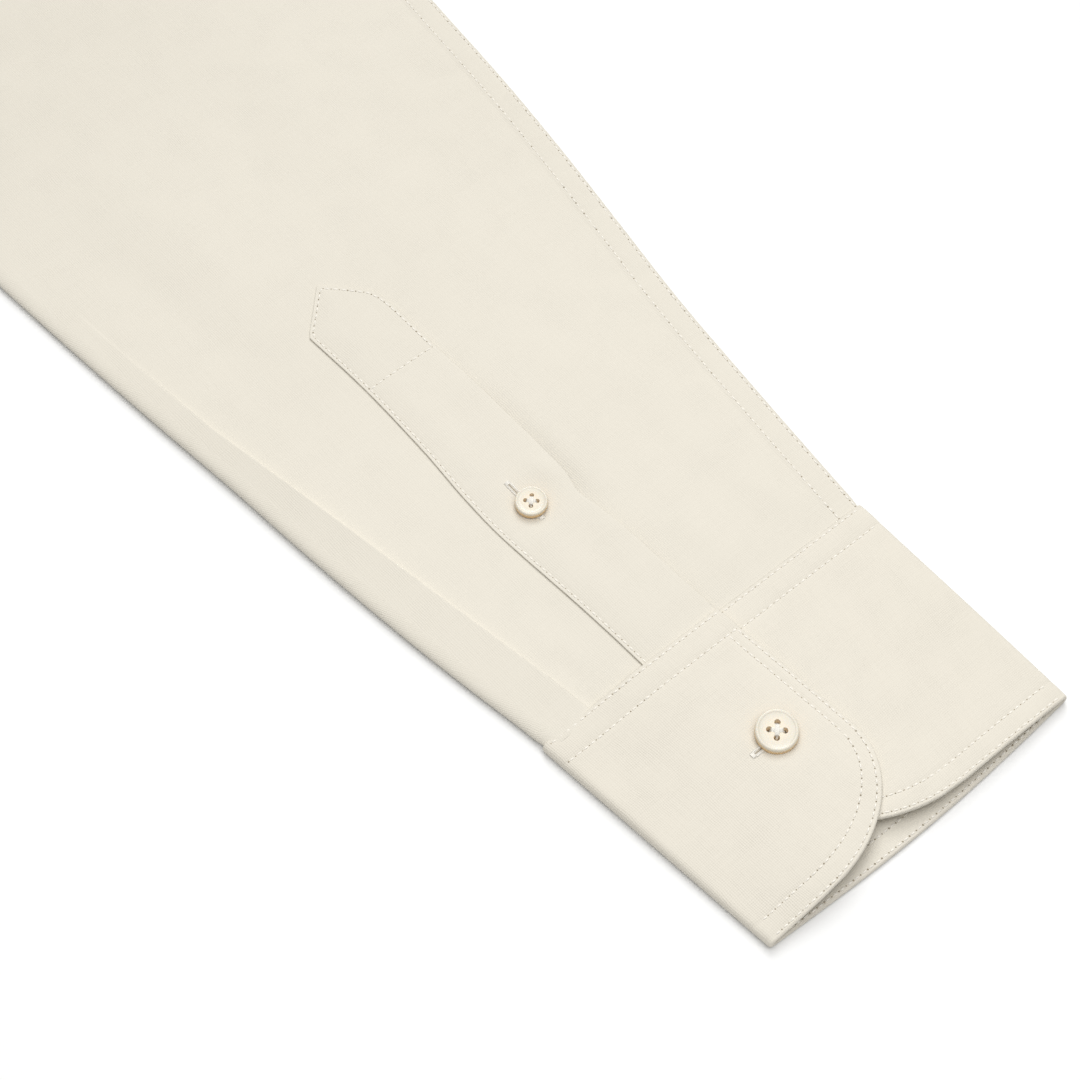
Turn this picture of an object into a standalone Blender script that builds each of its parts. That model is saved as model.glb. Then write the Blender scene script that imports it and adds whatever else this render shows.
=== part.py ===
# Long-sleeve shirt, buttoned, lying on its front with its back up and both sleeves spread.
# The collar points along +Y and the surface it lies on is z = 0. Sizes are in millimetres.
# On the body, y = 0 is the high point of the shoulder beside the neck.
# Names say left and right as the wearer does: seen from above, the left sleeve is on the left, at -X.

import bpy
import bmesh
import math

MM = 0.001
SEAM_GAP = 0.3            # air between two pieces of cloth that meet
CLOTH = 1.0               # wall of the body, sleeves and plackets
CUFF_CLOTH = 1.5          # two layers of cloth and the interlining
COLLAR_CLOTH = 1.4

# Body
CHEST_HALF = 275.0        # half the chest, laid flat
SHOULDER_HALF = 232.0
SHOULDER_DROP = 52.0
ARMHOLE_DEPTH = 245.0
ARMHOLE_HOLLOW = 17.0     # how far the armhole curves in
NECK_HALF = 76.0
FRONT_NECK_DROP = 84.0
BACK_NECK_DROP = 18.0
YOKE_SEAM = -105.0
SIDE_HEM = -695.0         # the hem at the side seams
HEM_DROP = 78.0           # how much lower the shirt tail hangs at the middle
HEM_HALF = 266.0

# Front fastening
BAND_HALF = 17.5
UNDERLAP_EDGE = -15.0     # where the right front ends under the band
LAP_LIFT = CLOTH + SEAM_GAP + 0.4
LAP_FLAT = 32.0           # the right front stays raised this far from the centre
LAP_SLOPE = 14.0
RIDGE_FLAT = 20.0         # the fronts stay on the buttons this far from the centre
RIDGE_SLOPE = 110.0
BACK_LAP_FLAT = 40.0      # the same rise of the back, over the lapped fronts
BACK_LAP_SLOPE = 90.0
FRONT_BUTTONS = 7
FIRST_BUTTON = -139.0
BUTTON_PITCH = 88.0
STAND_BUTTON = -69.0

# Buttons: diameter and thickness
LARGE_BUTTON = (11.4, 2.6)
SMALL_BUTTON = (9.0, 2.3)

# Sleeves: measured from the cuff seam, along toward the wrist, across toward the underarm seam
SLEEVE_ANGLE = math.radians(68.0)
SLEEVE_HEAD = -564.0      # the shoulder point
OUTER_FOLD_AT_HEAD = -92.8
SLEEVE_SECTIONS = (
    # along, outer fold, underarm seam
    (-SEAM_GAP, -56.4, 56.2),
    (-8.0, -57.0, 56.9),
    (-28.0, -60.0, 59.4),
    (-52.0, -63.1, 62.6),
    (-85.0, -66.4, 67.3),
    (-118.0, -69.0, 73.4),
    (-150.0, -72.0, 79.3),
    (-185.0, -74.8, 84.8),
    (-225.0, -77.6, 89.8),
    (-280.0, -81.2, 97.6),
    (-340.0, -84.6, 106.0),
)
HEAD_ROWS = 6             # rows from the last section to the armhole
OUTER_FOLD_HEIGHT = 3.9
UNDERARM_HEIGHT = 3.0

# The pleat beside the placket
PLEAT_AT_CUFF = -40.4
PLEAT_LEAN = 0.157        # how far it runs outward for each mm up the sleeve
PLEAT_LENGTH = 175.0
PLEAT_STEP = 1.5

# Sleeve placket
PLACKET_INNER = -22.3
PLACKET_FREE = 2.9
PLACKET_SHOULDER = -142.6
PLACKET_POINT = 12.4
PLACKET_BUTTON = (-11.6, -58.4)

# Cuff
CUFF_HEIGHT = 76.0
CUFF_FOLD = (-56.3, -50.2)       # outer fold at the seam, and at the wrist
CUFF_UNDERARM = (56.2, 55.0)
OVERLAP_END = 5.2
UNDERLAP_END = -22.0
OVERLAP_EASE = 16.0              # the overlap starts to rise this far before the underlap's end
OVERLAP_SLOPE = 14.0
CORNER_ACROSS = 31.0
CORNER_ALONG = 24.0
CUFF_GAP_AT_FOLD = 0.5
CUFF_GAP_AT_SEAM = 0.9
CUFF_GAP_AT_WRIST = 3.2
CUFF_BUTTON = (-11.0, 36.6)

# Collar
NECK_RING_HALF_HEIGHT = 9.0
TOP_RING_HALF = 64.0
TOP_RING_BACK = 19.0
TOP_RING_FRONT = -54.0
STAND_LAP = 13.0                 # degrees that each end runs past the centre front
STAND_LAP_LIFT = COLLAR_CLOTH + SEAM_GAP
STAND_LIFT_FROM = 154.0          # degrees from the centre back where the inner end starts to rise
STAND_CLEAR = 1.4                # the stand's lower edge lies this far inside the neckline
NECK_RING_HEIGHT = LARGE_BUTTON[1] + SEAM_GAP + COLLAR_CLOTH / 2 + NECK_RING_HALF_HEIGHT
NECK_LIFT_REACH = 1.6            # how far the lift by the collar runs out, in neck sizes
BACK_SLACK = 1.4                 # more air under the back where it slopes down from the collar
BACK_CROWN = 3.4                 # the back's extra height at the centre, behind the collar
CROWN_HALF = 110.0
CROWN_LENGTH = 182.0
SHOULDER_EASE = 0.5              # the front lies this far under the middle of the ring at the shoulder
LEAF_OFFSET = COLLAR_CLOTH + SEAM_GAP + 0.1
LEAF_RISE = 1.4                  # how far the leaf's fold stands past the top of the stand
LEAF_SIDE_DROP = 0.9             # and lower still just in front of the shoulder
LEAF_EDGE = (
    # degrees from the centre back, across, y, height of the middle of the leaf
    (0.0, 0.0, -27.0, 24.2),
    (25.0, 34.0, -24.5, 23.2),
    (48.0, 58.0, -17.0, 20.6),
    (68.0, 73.0, -7.0, 17.6),
    (82.0, 81.0, 2.5, 15.0),
    (90.0, 82.5, 5.0, 12.2),
    (98.0, 82.0, 1.0, 9.0),
    (112.0, 79.0, -20.0, 6.6),
    (130.0, 72.0, -52.0, 3.8),
    (152.0, 62.0, -84.0, 1.7),
    (175.0, 50.0, -113.0, 0.7),
)

YOKE_RISE = 1.1                  # the yoke clears the front at the shoulder by this much more

# The origin is below the middle of the whole outline
ORIGIN_Y = -376.3


def smooth(x):
    """Run from 0 to 1 with soft ends."""
    x = min(1.0, max(0.0, x))
    return x * x * (3.0 - 2.0 * x)


def mix(a, b, part):
    return a + (b - a) * part


def look_up(table, key, column):
    """Read one column of a table of rows at a place between them."""
    rows = sorted(table)
    if key <= rows[0][0]:
        return rows[0][column]
    for low, high in zip(rows, rows[1:]):
        if key <= high[0]:
            part = (key - low[0]) / (high[0] - low[0])
            return mix(low[column], high[column], part)
    return rows[-1][column]


def body_place(point):
    x, y, z = point
    return (x * MM, (y - ORIGIN_Y) * MM, z * MM)


def remove_old_objects():
    for old in list(bpy.data.objects):
        bpy.data.objects.remove(old, do_unlink=True)


def make_material(name, colour, roughness):
    material = bpy.data.materials.new(name)
    material.use_nodes = True
    shader = material.node_tree.nodes["Principled BSDF"]
    shader.inputs["Base Color"].default_value = (*colour, 1.0)
    shader.inputs["Roughness"].default_value = roughness
    shader.inputs["Metallic"].default_value = 0.0
    return material


def make_object(name, bm, material):
    bmesh.ops.recalc_face_normals(bm, faces=bm.faces)
    mesh = bpy.data.meshes.new(name)
    bm.to_mesh(mesh)
    bm.free()
    mesh.materials.append(material)
    mesh.shade_smooth()
    mesh.set_sharp_from_angle(angle=math.radians(40.0))
    piece = bpy.data.objects.new(name, mesh)
    bpy.context.collection.objects.link(piece)
    return piece


def wall_between(name, outside, inside, material, place, ring=False):
    """Close one wall of cloth between two matching grids of points; a ring joins its last column."""
    bm = bmesh.new()
    grids = []
    for grid in (outside, inside):
        grids.append([[bm.verts.new(place(p)) for p in row] for row in grid])
    rows = len(outside)
    columns = len(outside[0])
    spans = columns if ring else columns - 1
    for g in grids:
        for r in range(rows - 1):
            for c in range(spans):
                d = (c + 1) % columns
                bm.faces.new((g[r][c], g[r][d], g[r + 1][d], g[r + 1][c]))
    out, inner = grids
    for r in (0, rows - 1):
        for c in range(spans):
            d = (c + 1) % columns
            bm.faces.new((out[r][c], out[r][d], inner[r][d], inner[r][c]))
    if not ring:
        for c in (0, columns - 1):
            for r in range(rows - 1):
                bm.faces.new((out[r][c], out[r + 1][c], inner[r + 1][c], inner[r][c]))
    return make_object(name, bm, material)


def panel(name, grid, material, place=body_place):
    """A panel from the points of its lower face, with its thickness straight up."""
    upper = [[(x, y, z + CLOTH) for x, y, z in row] for row in grid]
    return wall_between(name, upper, grid, material, place)


def path_faces(path, thickness, closed):
    """Offset a path in the across and height plane to both sides of the cloth's middle."""
    count = len(path)
    one, other = [], []
    for i, (x, y, z) in enumerate(path):
        if closed:
            before, after = path[i - 1], path[(i + 1) % count]
        else:
            before, after = path[max(0, i - 1)], path[min(count - 1, i + 1)]
        dx = after[0] - before[0]
        dz = after[2] - before[2]
        length = math.hypot(dx, dz)
        nx, nz = dz / length * thickness / 2, -dx / length * thickness / 2
        one.append((x + nx, y, z + nz))
        other.append((x - nx, y, z - nz))
    return one, other


def half_turn(edge, outward, low, high, steps):
    """Across and height of the round fold from the lower layer to the upper one."""
    radius = (high - low) / 2
    turn = []
    for i in range(1, steps):
        angle = -math.pi / 2 + math.pi * i / steps
        turn.append((edge + outward * radius * (math.cos(angle) - 1.0), (low + high) / 2 + radius * math.sin(angle)))
    return turn


# Sleeves

def sleeve_frame(side):
    """The place of the cuff seam's origin and the along and across directions on one side."""
    along = (side * math.sin(SLEEVE_ANGLE), -math.cos(SLEEVE_ANGLE))
    across = (-side * math.cos(SLEEVE_ANGLE), -math.sin(SLEEVE_ANGLE))
    shoulder = (side * SHOULDER_HALF, -SHOULDER_DROP)
    origin = [shoulder[i] - OUTER_FOLD_AT_HEAD * across[i] - SLEEVE_HEAD * along[i] for i in (0, 1)]
    return origin, along, across


def sleeve_place(side):
    origin, along, across = sleeve_frame(side)

    def place(point):
        x, y, z = point
        world = [origin[i] + x * across[i] + y * along[i] for i in (0, 1)]
        return body_place((world[0], world[1], z))

    return place


def armhole(part, clear=0.0):
    """A point of the left armhole, from the shoulder at 0 to the underarm at 1, in body x and y."""
    x = mix(-SHOULDER_HALF, -CHEST_HALF, part)
    y = mix(-SHOULDER_DROP, -SHOULDER_DROP - ARMHOLE_DEPTH, part)
    bend = ARMHOLE_HOLLOW * math.sin(math.pi * part ** 1.25)
    return x + bend - clear, y


def sleeve_head(part):
    """The same curve in the sleeve's own across and along, clear of the body by the seam's gap."""
    x, y = armhole(part, SEAM_GAP * 2.4)
    origin, along, across = sleeve_frame(-1)
    dx, dy = x - origin[0], y - origin[1]
    return dx * across[0] + dy * across[1], dx * along[0] + dy * along[1]


def pleat_line(along):
    return PLEAT_AT_CUFF + PLEAT_LEAN * along


def sleeve_top(across, along, fold, seam):
    """Height of the middle of the upper layer."""
    part = (across - fold) / (seam - fold)
    level = mix(OUTER_FOLD_HEIGHT, UNDERARM_HEIGHT, smooth(part * 1.6)) - CLOTH / 2
    belly = 0.7 * math.sin(math.pi * min(1.0, max(0.0, part)))
    step = PLEAT_STEP * smooth(1.0 + along / PLEAT_LENGTH) * smooth(0.5 - (across - pleat_line(along)) / 2.4)
    fade = smooth((across - fold) / 9.0)
    return level + belly + step * fade


def sleeve_rows():
    """Left sleeve: rows of (fold point, seam point) ending on the armhole; each row as a function."""
    last = SLEEVE_SECTIONS[-1]
    rows = []
    for along, fold, seam in SLEEVE_SECTIONS:
        rows.append(lambda part, a=along, f=fold, s=seam: (mix(f, s, part), a))
    for i in range(1, HEAD_ROWS + 1):
        t = i / HEAD_ROWS

        def row(part, t=t):
            head = sleeve_head(part)
            return mix(mix(last[1], last[2], part), head[0], t), mix(last[0], head[1], t)

        rows.append(row)
    return rows


TOP_PARTS = 9             # columns of the upper layer from the pleat to the underarm seam
LOWER_PARTS = 8
TURN_STEPS = 4


def sleeve_path(row):
    """The middle of the cloth once round the sleeve: the upper layer, seam, lower layer and fold."""
    fold, along = row(0.0)
    seam = row(1.0)[0]
    width = seam - fold
    crease = (pleat_line(along) - fold) / width
    crease = max(crease, 9.0 / width)
    inset_fold = (OUTER_FOLD_HEIGHT - CLOTH) / 2 / width + CLOTH / 2 / width
    inset_seam = (UNDERARM_HEIGHT - CLOTH) / 2 / width + CLOTH / 2 / width

    def along_at(x):
        return row((x - fold) / width)[1]

    parts = [inset_fold, mix(inset_fold, crease, 0.5), crease - 1.1 / width, crease + 1.1 / width]
    for i in range(1, TOP_PARTS + 1):
        parts.append(mix(crease + 1.1 / width, 1.0 - inset_seam, i / TOP_PARTS))
    path = []
    for part in parts:
        x, y = row(part)
        path.append((x, y, sleeve_top(x, y, fold, seam)))
    low = CLOTH / 2
    for x, z in reversed(half_turn(seam - low, 1, low, UNDERARM_HEIGHT - low, TURN_STEPS)):
        path.append((x, along_at(x), z))
    for i in range(LOWER_PARTS + 1):
        x, y = row(mix(1.0 - inset_seam, inset_fold, i / LOWER_PARTS))
        path.append((x, y, low))
    for x, z in half_turn(fold + low, -1, low, OUTER_FOLD_HEIGHT - low, TURN_STEPS):
        path.append((x, along_at(x), z))
    return path


def make_sleeve(name, side, material):
    outside, inside = [], []
    for row in sleeve_rows():
        one, other = path_faces(sleeve_path(row), CLOTH, closed=True)
        outside.append(one)
        inside.append(other)
    return wall_between(name, outside, inside, material, sleeve_place(side), ring=True)


def edges_at(along):
    return look_up(SLEEVE_SECTIONS, along, 1), look_up(SLEEVE_SECTIONS, along, 2)


PLACKET_COLUMNS = 4
PLACKET_ROWS = 14


def make_sleeve_placket(name, side, material):
    """The strip over the slit, with its pointed top, on the points of the sleeve moved up."""
    middle = (PLACKET_INNER + PLACKET_FREE) / 2
    half = (PLACKET_FREE - PLACKET_INNER) / 2
    grid = []
    for r in range(PLACKET_ROWS + 1):
        row = []
        for c in range(PLACKET_COLUMNS + 1):
            x = mix(PLACKET_INNER, PLACKET_FREE, c / PLACKET_COLUMNS)
            tip = PLACKET_SHOULDER - PLACKET_POINT * (1.0 - abs(x - middle) / half)
            y = mix(-SEAM_GAP, tip, r / PLACKET_ROWS)
            z = sleeve_top(x, y, *edges_at(y)) + CLOTH / 2 + SEAM_GAP + 0.05
            row.append((x, y, z))
        grid.append(row)
    return panel(name, grid, material, sleeve_place(side))


# Cuffs

def cuff_gap(across, along, fold, seam):
    """Clear height between the cuff's lower layer and the layer over it."""
    part = (across - fold) / (seam - fold)
    peak = mix(CUFF_GAP_AT_SEAM, CUFF_GAP_AT_WRIST, (along / CUFF_HEIGHT) ** 1.5)
    return mix(CUFF_GAP_AT_FOLD, peak, math.sin(math.pi * min(1.0, max(0.0, part))) ** 1.3)


def cuff_upper(across, along, fold, seam):
    """Height of the middle of the layer next above the lower one."""
    return CUFF_CLOTH * 1.5 + cuff_gap(across, along, fold, seam)


def overlap_lift(across):
    """How far the overlap lies above the underlap, easing down beyond its end."""
    return (CUFF_CLOTH + SEAM_GAP) * smooth((across - UNDERLAP_END + OVERLAP_EASE) / OVERLAP_SLOPE)


def cuff_edge(across, end, direction):
    """The wrist edge, with the rounded corner of a lapped end."""
    start = end - direction * CORNER_ACROSS
    reach = (across - start) * direction / CORNER_ACROSS
    if reach <= 0.0:
        return CUFF_HEIGHT
    return CUFF_HEIGHT - CORNER_ALONG * (1.0 - math.sqrt(max(0.0, 1.0 - min(1.0, reach) ** 2)))


CORNER_STEPS = 7
CUFF_TOP_PARTS = 4
CUFF_LOW_PARTS = 9
CUFF_ROWS = 6


def cuff_path(height_part):
    """The middle of the cuff's cloth from the end of the overlap round to the end of the underlap."""
    level = CUFF_HEIGHT * height_part
    fold = mix(CUFF_FOLD[0], CUFF_FOLD[1], height_part)
    seam = mix(CUFF_UNDERARM[0], CUFF_UNDERARM[1], height_part)
    half = CUFF_CLOTH / 2
    high = CUFF_CLOTH * 1.5 + CUFF_GAP_AT_FOLD
    inset = (high - half) / 2 + half
    path = []
    for i in range(CORNER_STEPS):
        x = OVERLAP_END - CORNER_ACROSS * (1.0 - math.cos(math.pi / 2 * i / CORNER_STEPS))
        y = height_part * cuff_edge(x, OVERLAP_END, 1)
        path.append((x, y, cuff_upper(x, y, fold, seam) + overlap_lift(x)))
    start = OVERLAP_END - CORNER_ACROSS
    for i in range(CUFF_TOP_PARTS + 1):
        x = mix(start, fold + inset, i / CUFF_TOP_PARTS)
        path.append((x, level, cuff_upper(x, level, fold, seam) + overlap_lift(x)))
    for x, z in reversed(half_turn(fold + half, -1, half, high, TURN_STEPS)):
        path.append((x, level, z))
    for i in range(CUFF_LOW_PARTS + 1):
        path.append((mix(fold + inset, seam - inset, i / CUFF_LOW_PARTS), level, half))
    for x, z in half_turn(seam - half, 1, half, high, TURN_STEPS):
        path.append((x, level, z))
    start = UNDERLAP_END + CORNER_ACROSS
    for i in range(CUFF_TOP_PARTS + 1):
        x = mix(seam - inset, start, i / CUFF_TOP_PARTS)
        path.append((x, level, cuff_upper(x, level, fold, seam)))
    for i in range(CORNER_STEPS - 1, -1, -1):
        x = UNDERLAP_END + CORNER_ACROSS * (1.0 - math.cos(math.pi / 2 * i / CORNER_STEPS))
        y = height_part * cuff_edge(x, UNDERLAP_END, -1)
        path.append((x, y, cuff_upper(x, y, fold, seam)))
    return path


def make_cuff(name, side, material):
    outside, inside = [], []
    for r in range(CUFF_ROWS + 1):
        one, other = path_faces(cuff_path(r / CUFF_ROWS), CUFF_CLOTH, closed=False)
        outside.append(one)
        inside.append(other)
    return wall_between(name, outside, inside, material, sleeve_place(side))


# Body panels

def ridge(across):
    """How far the row of front buttons holds the band off the surface."""
    return (LARGE_BUTTON[1] + SEAM_GAP) * smooth(1.0 - (abs(across) - RIDGE_FLAT) / RIDGE_SLOPE)


def neck_reach(x, y):
    return math.hypot(x / NECK_HALF, y / FRONT_NECK_DROP)


def neck_weight(reach):
    return 1.0 - smooth((max(1.0, reach) - 1.0) / NECK_LIFT_REACH)


def front_level(x, y):
    """Underside of the fronts: flat, but over the buttons and up to the collar."""
    reach = max(neck_reach(x, y), 1.0)
    forward = max(0.0, -y) / (FRONT_NECK_DROP * reach)
    at_neck = NECK_RING_HEIGHT - NECK_RING_HALF_HEIGHT * forward - COLLAR_CLOTH / 2
    at_neck -= SHOULDER_EASE * (1.0 - forward)
    return mix(ridge(x), at_neck, neck_weight(reach))


def back_level(x, y):
    """Underside of the back and the yoke, clear of the fronts."""
    reach = max(neck_reach(x, y), 1.0)
    weight = neck_weight(reach)
    lap = LAP_LIFT * smooth((BACK_LAP_FLAT + BACK_LAP_SLOPE - abs(x)) / BACK_LAP_SLOPE)
    lift = weight * (NECK_RING_HEIGHT - CLOTH / 2 - 0.2)
    across = max(0.0, 1.0 - (x / CROWN_HALF) ** 2) ** 2
    crown = BACK_CROWN * across * smooth(1.0 + (y + BACK_NECK_DROP) / CROWN_LENGTH)
    slack = BACK_SLACK * smooth(weight * 12.0) * smooth((1.0 - weight) * 5.0)
    return CLOTH + SEAM_GAP * 1.5 + ridge(x) + lap + lift + crown + slack


def armhole_x(y):
    """Half width of the body beside the armhole."""
    part = min(1.0, max(0.0, (-SHOULDER_DROP - y) / ARMHOLE_DEPTH))
    return -armhole(part)[0]


UNDERARM_Y = -SHOULDER_DROP - ARMHOLE_DEPTH


def hem(x):
    """The shirt-tail hem, low at the middle and high at the side seams."""
    part = min(1.0, abs(x) / HEM_HALF)
    return SIDE_HEM - HEM_DROP * (0.5 + 0.5 * math.cos(math.pi * part))


def side_x(y):
    return mix(CHEST_HALF, HEM_HALF, (UNDERARM_Y - y) / (UNDERARM_Y - SIDE_HEM))


def shoulder_y(x):
    return -SHOULDER_DROP * (abs(x) - NECK_HALF) / (SHOULDER_HALF - NECK_HALF)


NECK_STEPS = 9
SHOULDER_STEPS = 4
ARMHOLE_ROWS = 9
SIDE_ROWS = 6


def front_grid(side, centre, extra):
    """Rows from the neck and shoulder down to the hem, columns from the centre edge to the side."""
    start = math.asin(centre / NECK_HALF)
    top = []
    for i in range(NECK_STEPS + 1):
        turn = mix(start, math.pi / 2, i / NECK_STEPS)
        top.append((NECK_HALF * math.sin(turn), -FRONT_NECK_DROP * math.cos(turn)))
    for i in range(1, SHOULDER_STEPS + 1):
        x = mix(NECK_HALF, SHOULDER_HALF, i / SHOULDER_STEPS)
        top.append((x, shoulder_y(x)))
    count = len(top) - 1
    rows = []
    for r in range(ARMHOLE_ROWS + 1):
        v = r / ARMHOLE_ROWS
        row = []
        for c, (x0, y0) in enumerate(top):
            s = c / count
            x = mix(x0, mix(centre, CHEST_HALF, s), v)
            y = mix(y0, UNDERARM_Y, v)
            if c == count:
                x = armhole_x(y)
            row.append((x, y))
        rows.append(row)
    for r in range(1, SIDE_ROWS + 1):
        v = r / SIDE_ROWS
        row = []
        for c in range(count + 1):
            s = c / count
            x_end = mix(centre, HEM_HALF, s)
            row.append((mix(mix(centre, CHEST_HALF, s), x_end, v), mix(UNDERARM_Y, hem(x_end), v)))
        rows.append(row)
    return [[(side * x, y, front_level(x, y) + extra(x)) for x, y in row] for row in rows]


def no_lift(x):
    return 0.0


def lap_lift(x):
    """The right front steps up over the band."""
    return LAP_LIFT * smooth((LAP_FLAT + LAP_SLOPE - x) / LAP_SLOPE)


def make_front_band(name, material):
    rows = 28
    columns = 2
    grid = []
    for r in range(rows + 1):
        row = []
        for c in range(columns + 1):
            x = mix(-BAND_HALF, BAND_HALF, c / columns)
            top = -FRONT_NECK_DROP * math.sqrt(1.0 - (x / NECK_HALF) ** 2) - SEAM_GAP
            y = mix(top, hem(x), r / rows)
            row.append((x, y, front_level(x, y)))
        grid.append(row)
    return panel(name, grid, material)


def ring_point(half, back, front, height, half_height, degrees):
    """A point of one of the collar's rings, 0 at the centre back and 180 at the centre front."""
    turn = math.radians(degrees)
    away = math.cos(turn)
    reach = back if away > 0 else -front
    return (half * math.sin(turn), reach * away, height + half_height * away)


def neck_ring(degrees):
    x, y, z = ring_point(NECK_HALF, -BACK_NECK_DROP, -FRONT_NECK_DROP, NECK_RING_HEIGHT, NECK_RING_HALF_HEIGHT, degrees)
    return x, y, z


def top_ring(degrees, out=0.0):
    """The fold of the collar, at the top of the stand, moved outward by a distance."""
    turn = math.radians(degrees)
    away = math.cos(turn)
    middle = 14.0
    reach = TOP_RING_BACK - middle if away > 0 else middle - TOP_RING_FRONT
    nx, nz = math.sin(turn) / TOP_RING_HALF, away / NECK_RING_HALF_HEIGHT
    scale = out / math.hypot(nx, nz)
    x = TOP_RING_HALF * math.sin(turn) + nx * scale
    return x, middle + reach * away, NECK_RING_HEIGHT + NECK_RING_HALF_HEIGHT * away + nz * scale


def faces_of_grid(grid, thickness):
    """Offset a grid of points to both sides, along the normal worked out from its neighbours."""
    rows, columns = len(grid), len(grid[0])
    one, other = [], []
    for r in range(rows):
        row_one, row_other = [], []
        for c in range(columns):
            a, b = grid[r][max(0, c - 1)], grid[r][min(columns - 1, c + 1)]
            d, e = grid[max(0, r - 1)][c], grid[min(rows - 1, r + 1)][c]
            u = [b[i] - a[i] for i in range(3)]
            v = [e[i] - d[i] for i in range(3)]
            n = (u[1] * v[2] - u[2] * v[1], u[2] * v[0] - u[0] * v[2], u[0] * v[1] - u[1] * v[0])
            length = math.sqrt(sum(k * k for k in n))
            p = grid[r][c]
            row_one.append(tuple(p[i] + n[i] / length * thickness / 2 for i in range(3)))
            row_other.append(tuple(p[i] - n[i] / length * thickness / 2 for i in range(3)))
        one.append(row_one)
        other.append(row_other)
    return one, other


STAND_STEPS = 46
STAND_ROWS = 2
LEAF_STEPS = 48
LEAF_ROWS = 5


def make_collar_stand(name, material):
    """The strip round the neck, its ends lapped at the centre front, the left end outermost."""
    grid = []
    for r in range(STAND_ROWS + 1):
        v = r / STAND_ROWS
        row = []
        for c in range(STAND_STEPS + 1):
            degrees = mix(-180.0 - STAND_LAP, 180.0 + STAND_LAP, c / STAND_STEPS)
            low, high = neck_ring(degrees), top_ring(degrees)
            lift = STAND_LAP_LIFT * smooth((degrees - STAND_LIFT_FROM) / 10.0)
            x, y, z = (mix(low[i], high[i], v) for i in range(3))
            clear = STAND_CLEAR * (1.0 - v)
            row.append((x * (1.0 - clear / NECK_HALF), y + clear * 0.6, z + lift))
        grid.append(row)
    outside, inside = faces_of_grid(grid, COLLAR_CLOTH)
    return wall_between(name, outside, inside, material, body_place)


def make_collar_leaf(name, material):
    """The fold-down leaf, from its left point round the back to its right point."""
    grid = []
    end = LEAF_EDGE[-1][0]
    for r in range(LEAF_ROWS + 1):
        v = r / LEAF_ROWS
        row = []
        for c in range(LEAF_STEPS + 1):
            degrees = mix(-end, end, c / LEAF_STEPS)
            fold = top_ring(degrees, LEAF_OFFSET)
            turn = abs(degrees)
            drop = LEAF_SIDE_DROP * smooth((turn - 86.0) / 8.0) * smooth((160.0 - turn) / 40.0)
            fold = (fold[0], fold[1] + LEAF_RISE, fold[2] - drop)
            edge = [look_up(LEAF_EDGE, turn, k) for k in (1, 2, 3)]
            edge[0] = math.copysign(edge[0], degrees)
            row.append(tuple(mix(fold[i], edge[i], v) for i in range(3)))
        grid.append(row)
    outside, inside = faces_of_grid(grid, COLLAR_CLOTH)
    return wall_between(name, outside, inside, material, body_place)


YOKE_ROWS = 6


def back_top():
    """Neckline and shoulders of the yoke from left to right, with the height of its underside."""
    points = []
    for i in range(NECK_STEPS + 1):
        degrees = 90.0 * i / NECK_STEPS
        x, y, z = neck_ring(degrees)
        points.append((x, y - SEAM_GAP, z - CLOTH / 2 + YOKE_RISE * (i / NECK_STEPS) ** 4))
    for i in range(1, SHOULDER_STEPS + 1):
        x = mix(NECK_HALF, SHOULDER_HALF, i / SHOULDER_STEPS)
        points.append((x, shoulder_y(x), front_level(x, shoulder_y(x)) + CLOTH + SEAM_GAP * 2))
    return [(-x, y, z) for x, y, z in reversed(points[1:])] + points


def make_yoke(name, material):
    top = back_top()
    bottom_half = armhole_x(YOKE_SEAM)
    grid = []
    for r in range(YOKE_ROWS + 1):
        v = r / YOKE_ROWS
        row = []
        for x0, y0, z0 in top:
            x = mix(x0, x0 / SHOULDER_HALF * bottom_half, v)
            y = mix(y0, YOKE_SEAM, v)
            if abs(x0) == SHOULDER_HALF:
                x = math.copysign(armhole_x(y), x0)
            rest = z0 - back_level(x0, y0)
            row.append((x, y, back_level(x, y) + rest * (1.0 - smooth(v * 3.0))))
        grid.append(row)
    return panel(name, grid, material)


BACK_COLUMNS = 20
BACK_ARMHOLE_ROWS = 7


def make_back(name, material):
    grid = []
    top = YOKE_SEAM - SEAM_GAP
    for r in range(BACK_ARMHOLE_ROWS + 1):
        y = mix(top, UNDERARM_Y, r / BACK_ARMHOLE_ROWS)
        half = armhole_x(y)
        row = []
        for c in range(BACK_COLUMNS + 1):
            x = half * mix(-1.0, 1.0, c / BACK_COLUMNS)
            row.append((x, y, back_level(x, y)))
        grid.append(row)
    for r in range(1, SIDE_ROWS + 1):
        v = r / SIDE_ROWS
        row = []
        for c in range(BACK_COLUMNS + 1):
            s = mix(-1.0, 1.0, c / BACK_COLUMNS)
            x_end = HEM_HALF * s
            x = mix(CHEST_HALF * s, x_end, v)
            y = mix(UNDERARM_Y, hem(x_end), v)
            row.append((x, y, back_level(x, y)))
        grid.append(row)
    return panel(name, grid, material)


# Buttons

BUTTON_SIDES = 16
BUTTON_HOLE = 0.16        # half the width of a hole, as a share of the button's radius
BUTTON_HOLE_OUT = 0.25    # middle of a hole from the button's axis, along x and y, as such a share


def button_profile(size):
    """Radius and height rings of the turned button: flat back, round side, rim and hollow face."""
    radius, high = size[0] / 2, size[1]
    return (
        (radius * 0.80, 0.0),
        (radius * 0.97, high * 0.30),
        (radius, high * 0.62),
        (radius * 0.93, high),
        (radius * 0.78, high * 0.93),
        (radius * 0.66, high * 0.70),
    )


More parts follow.
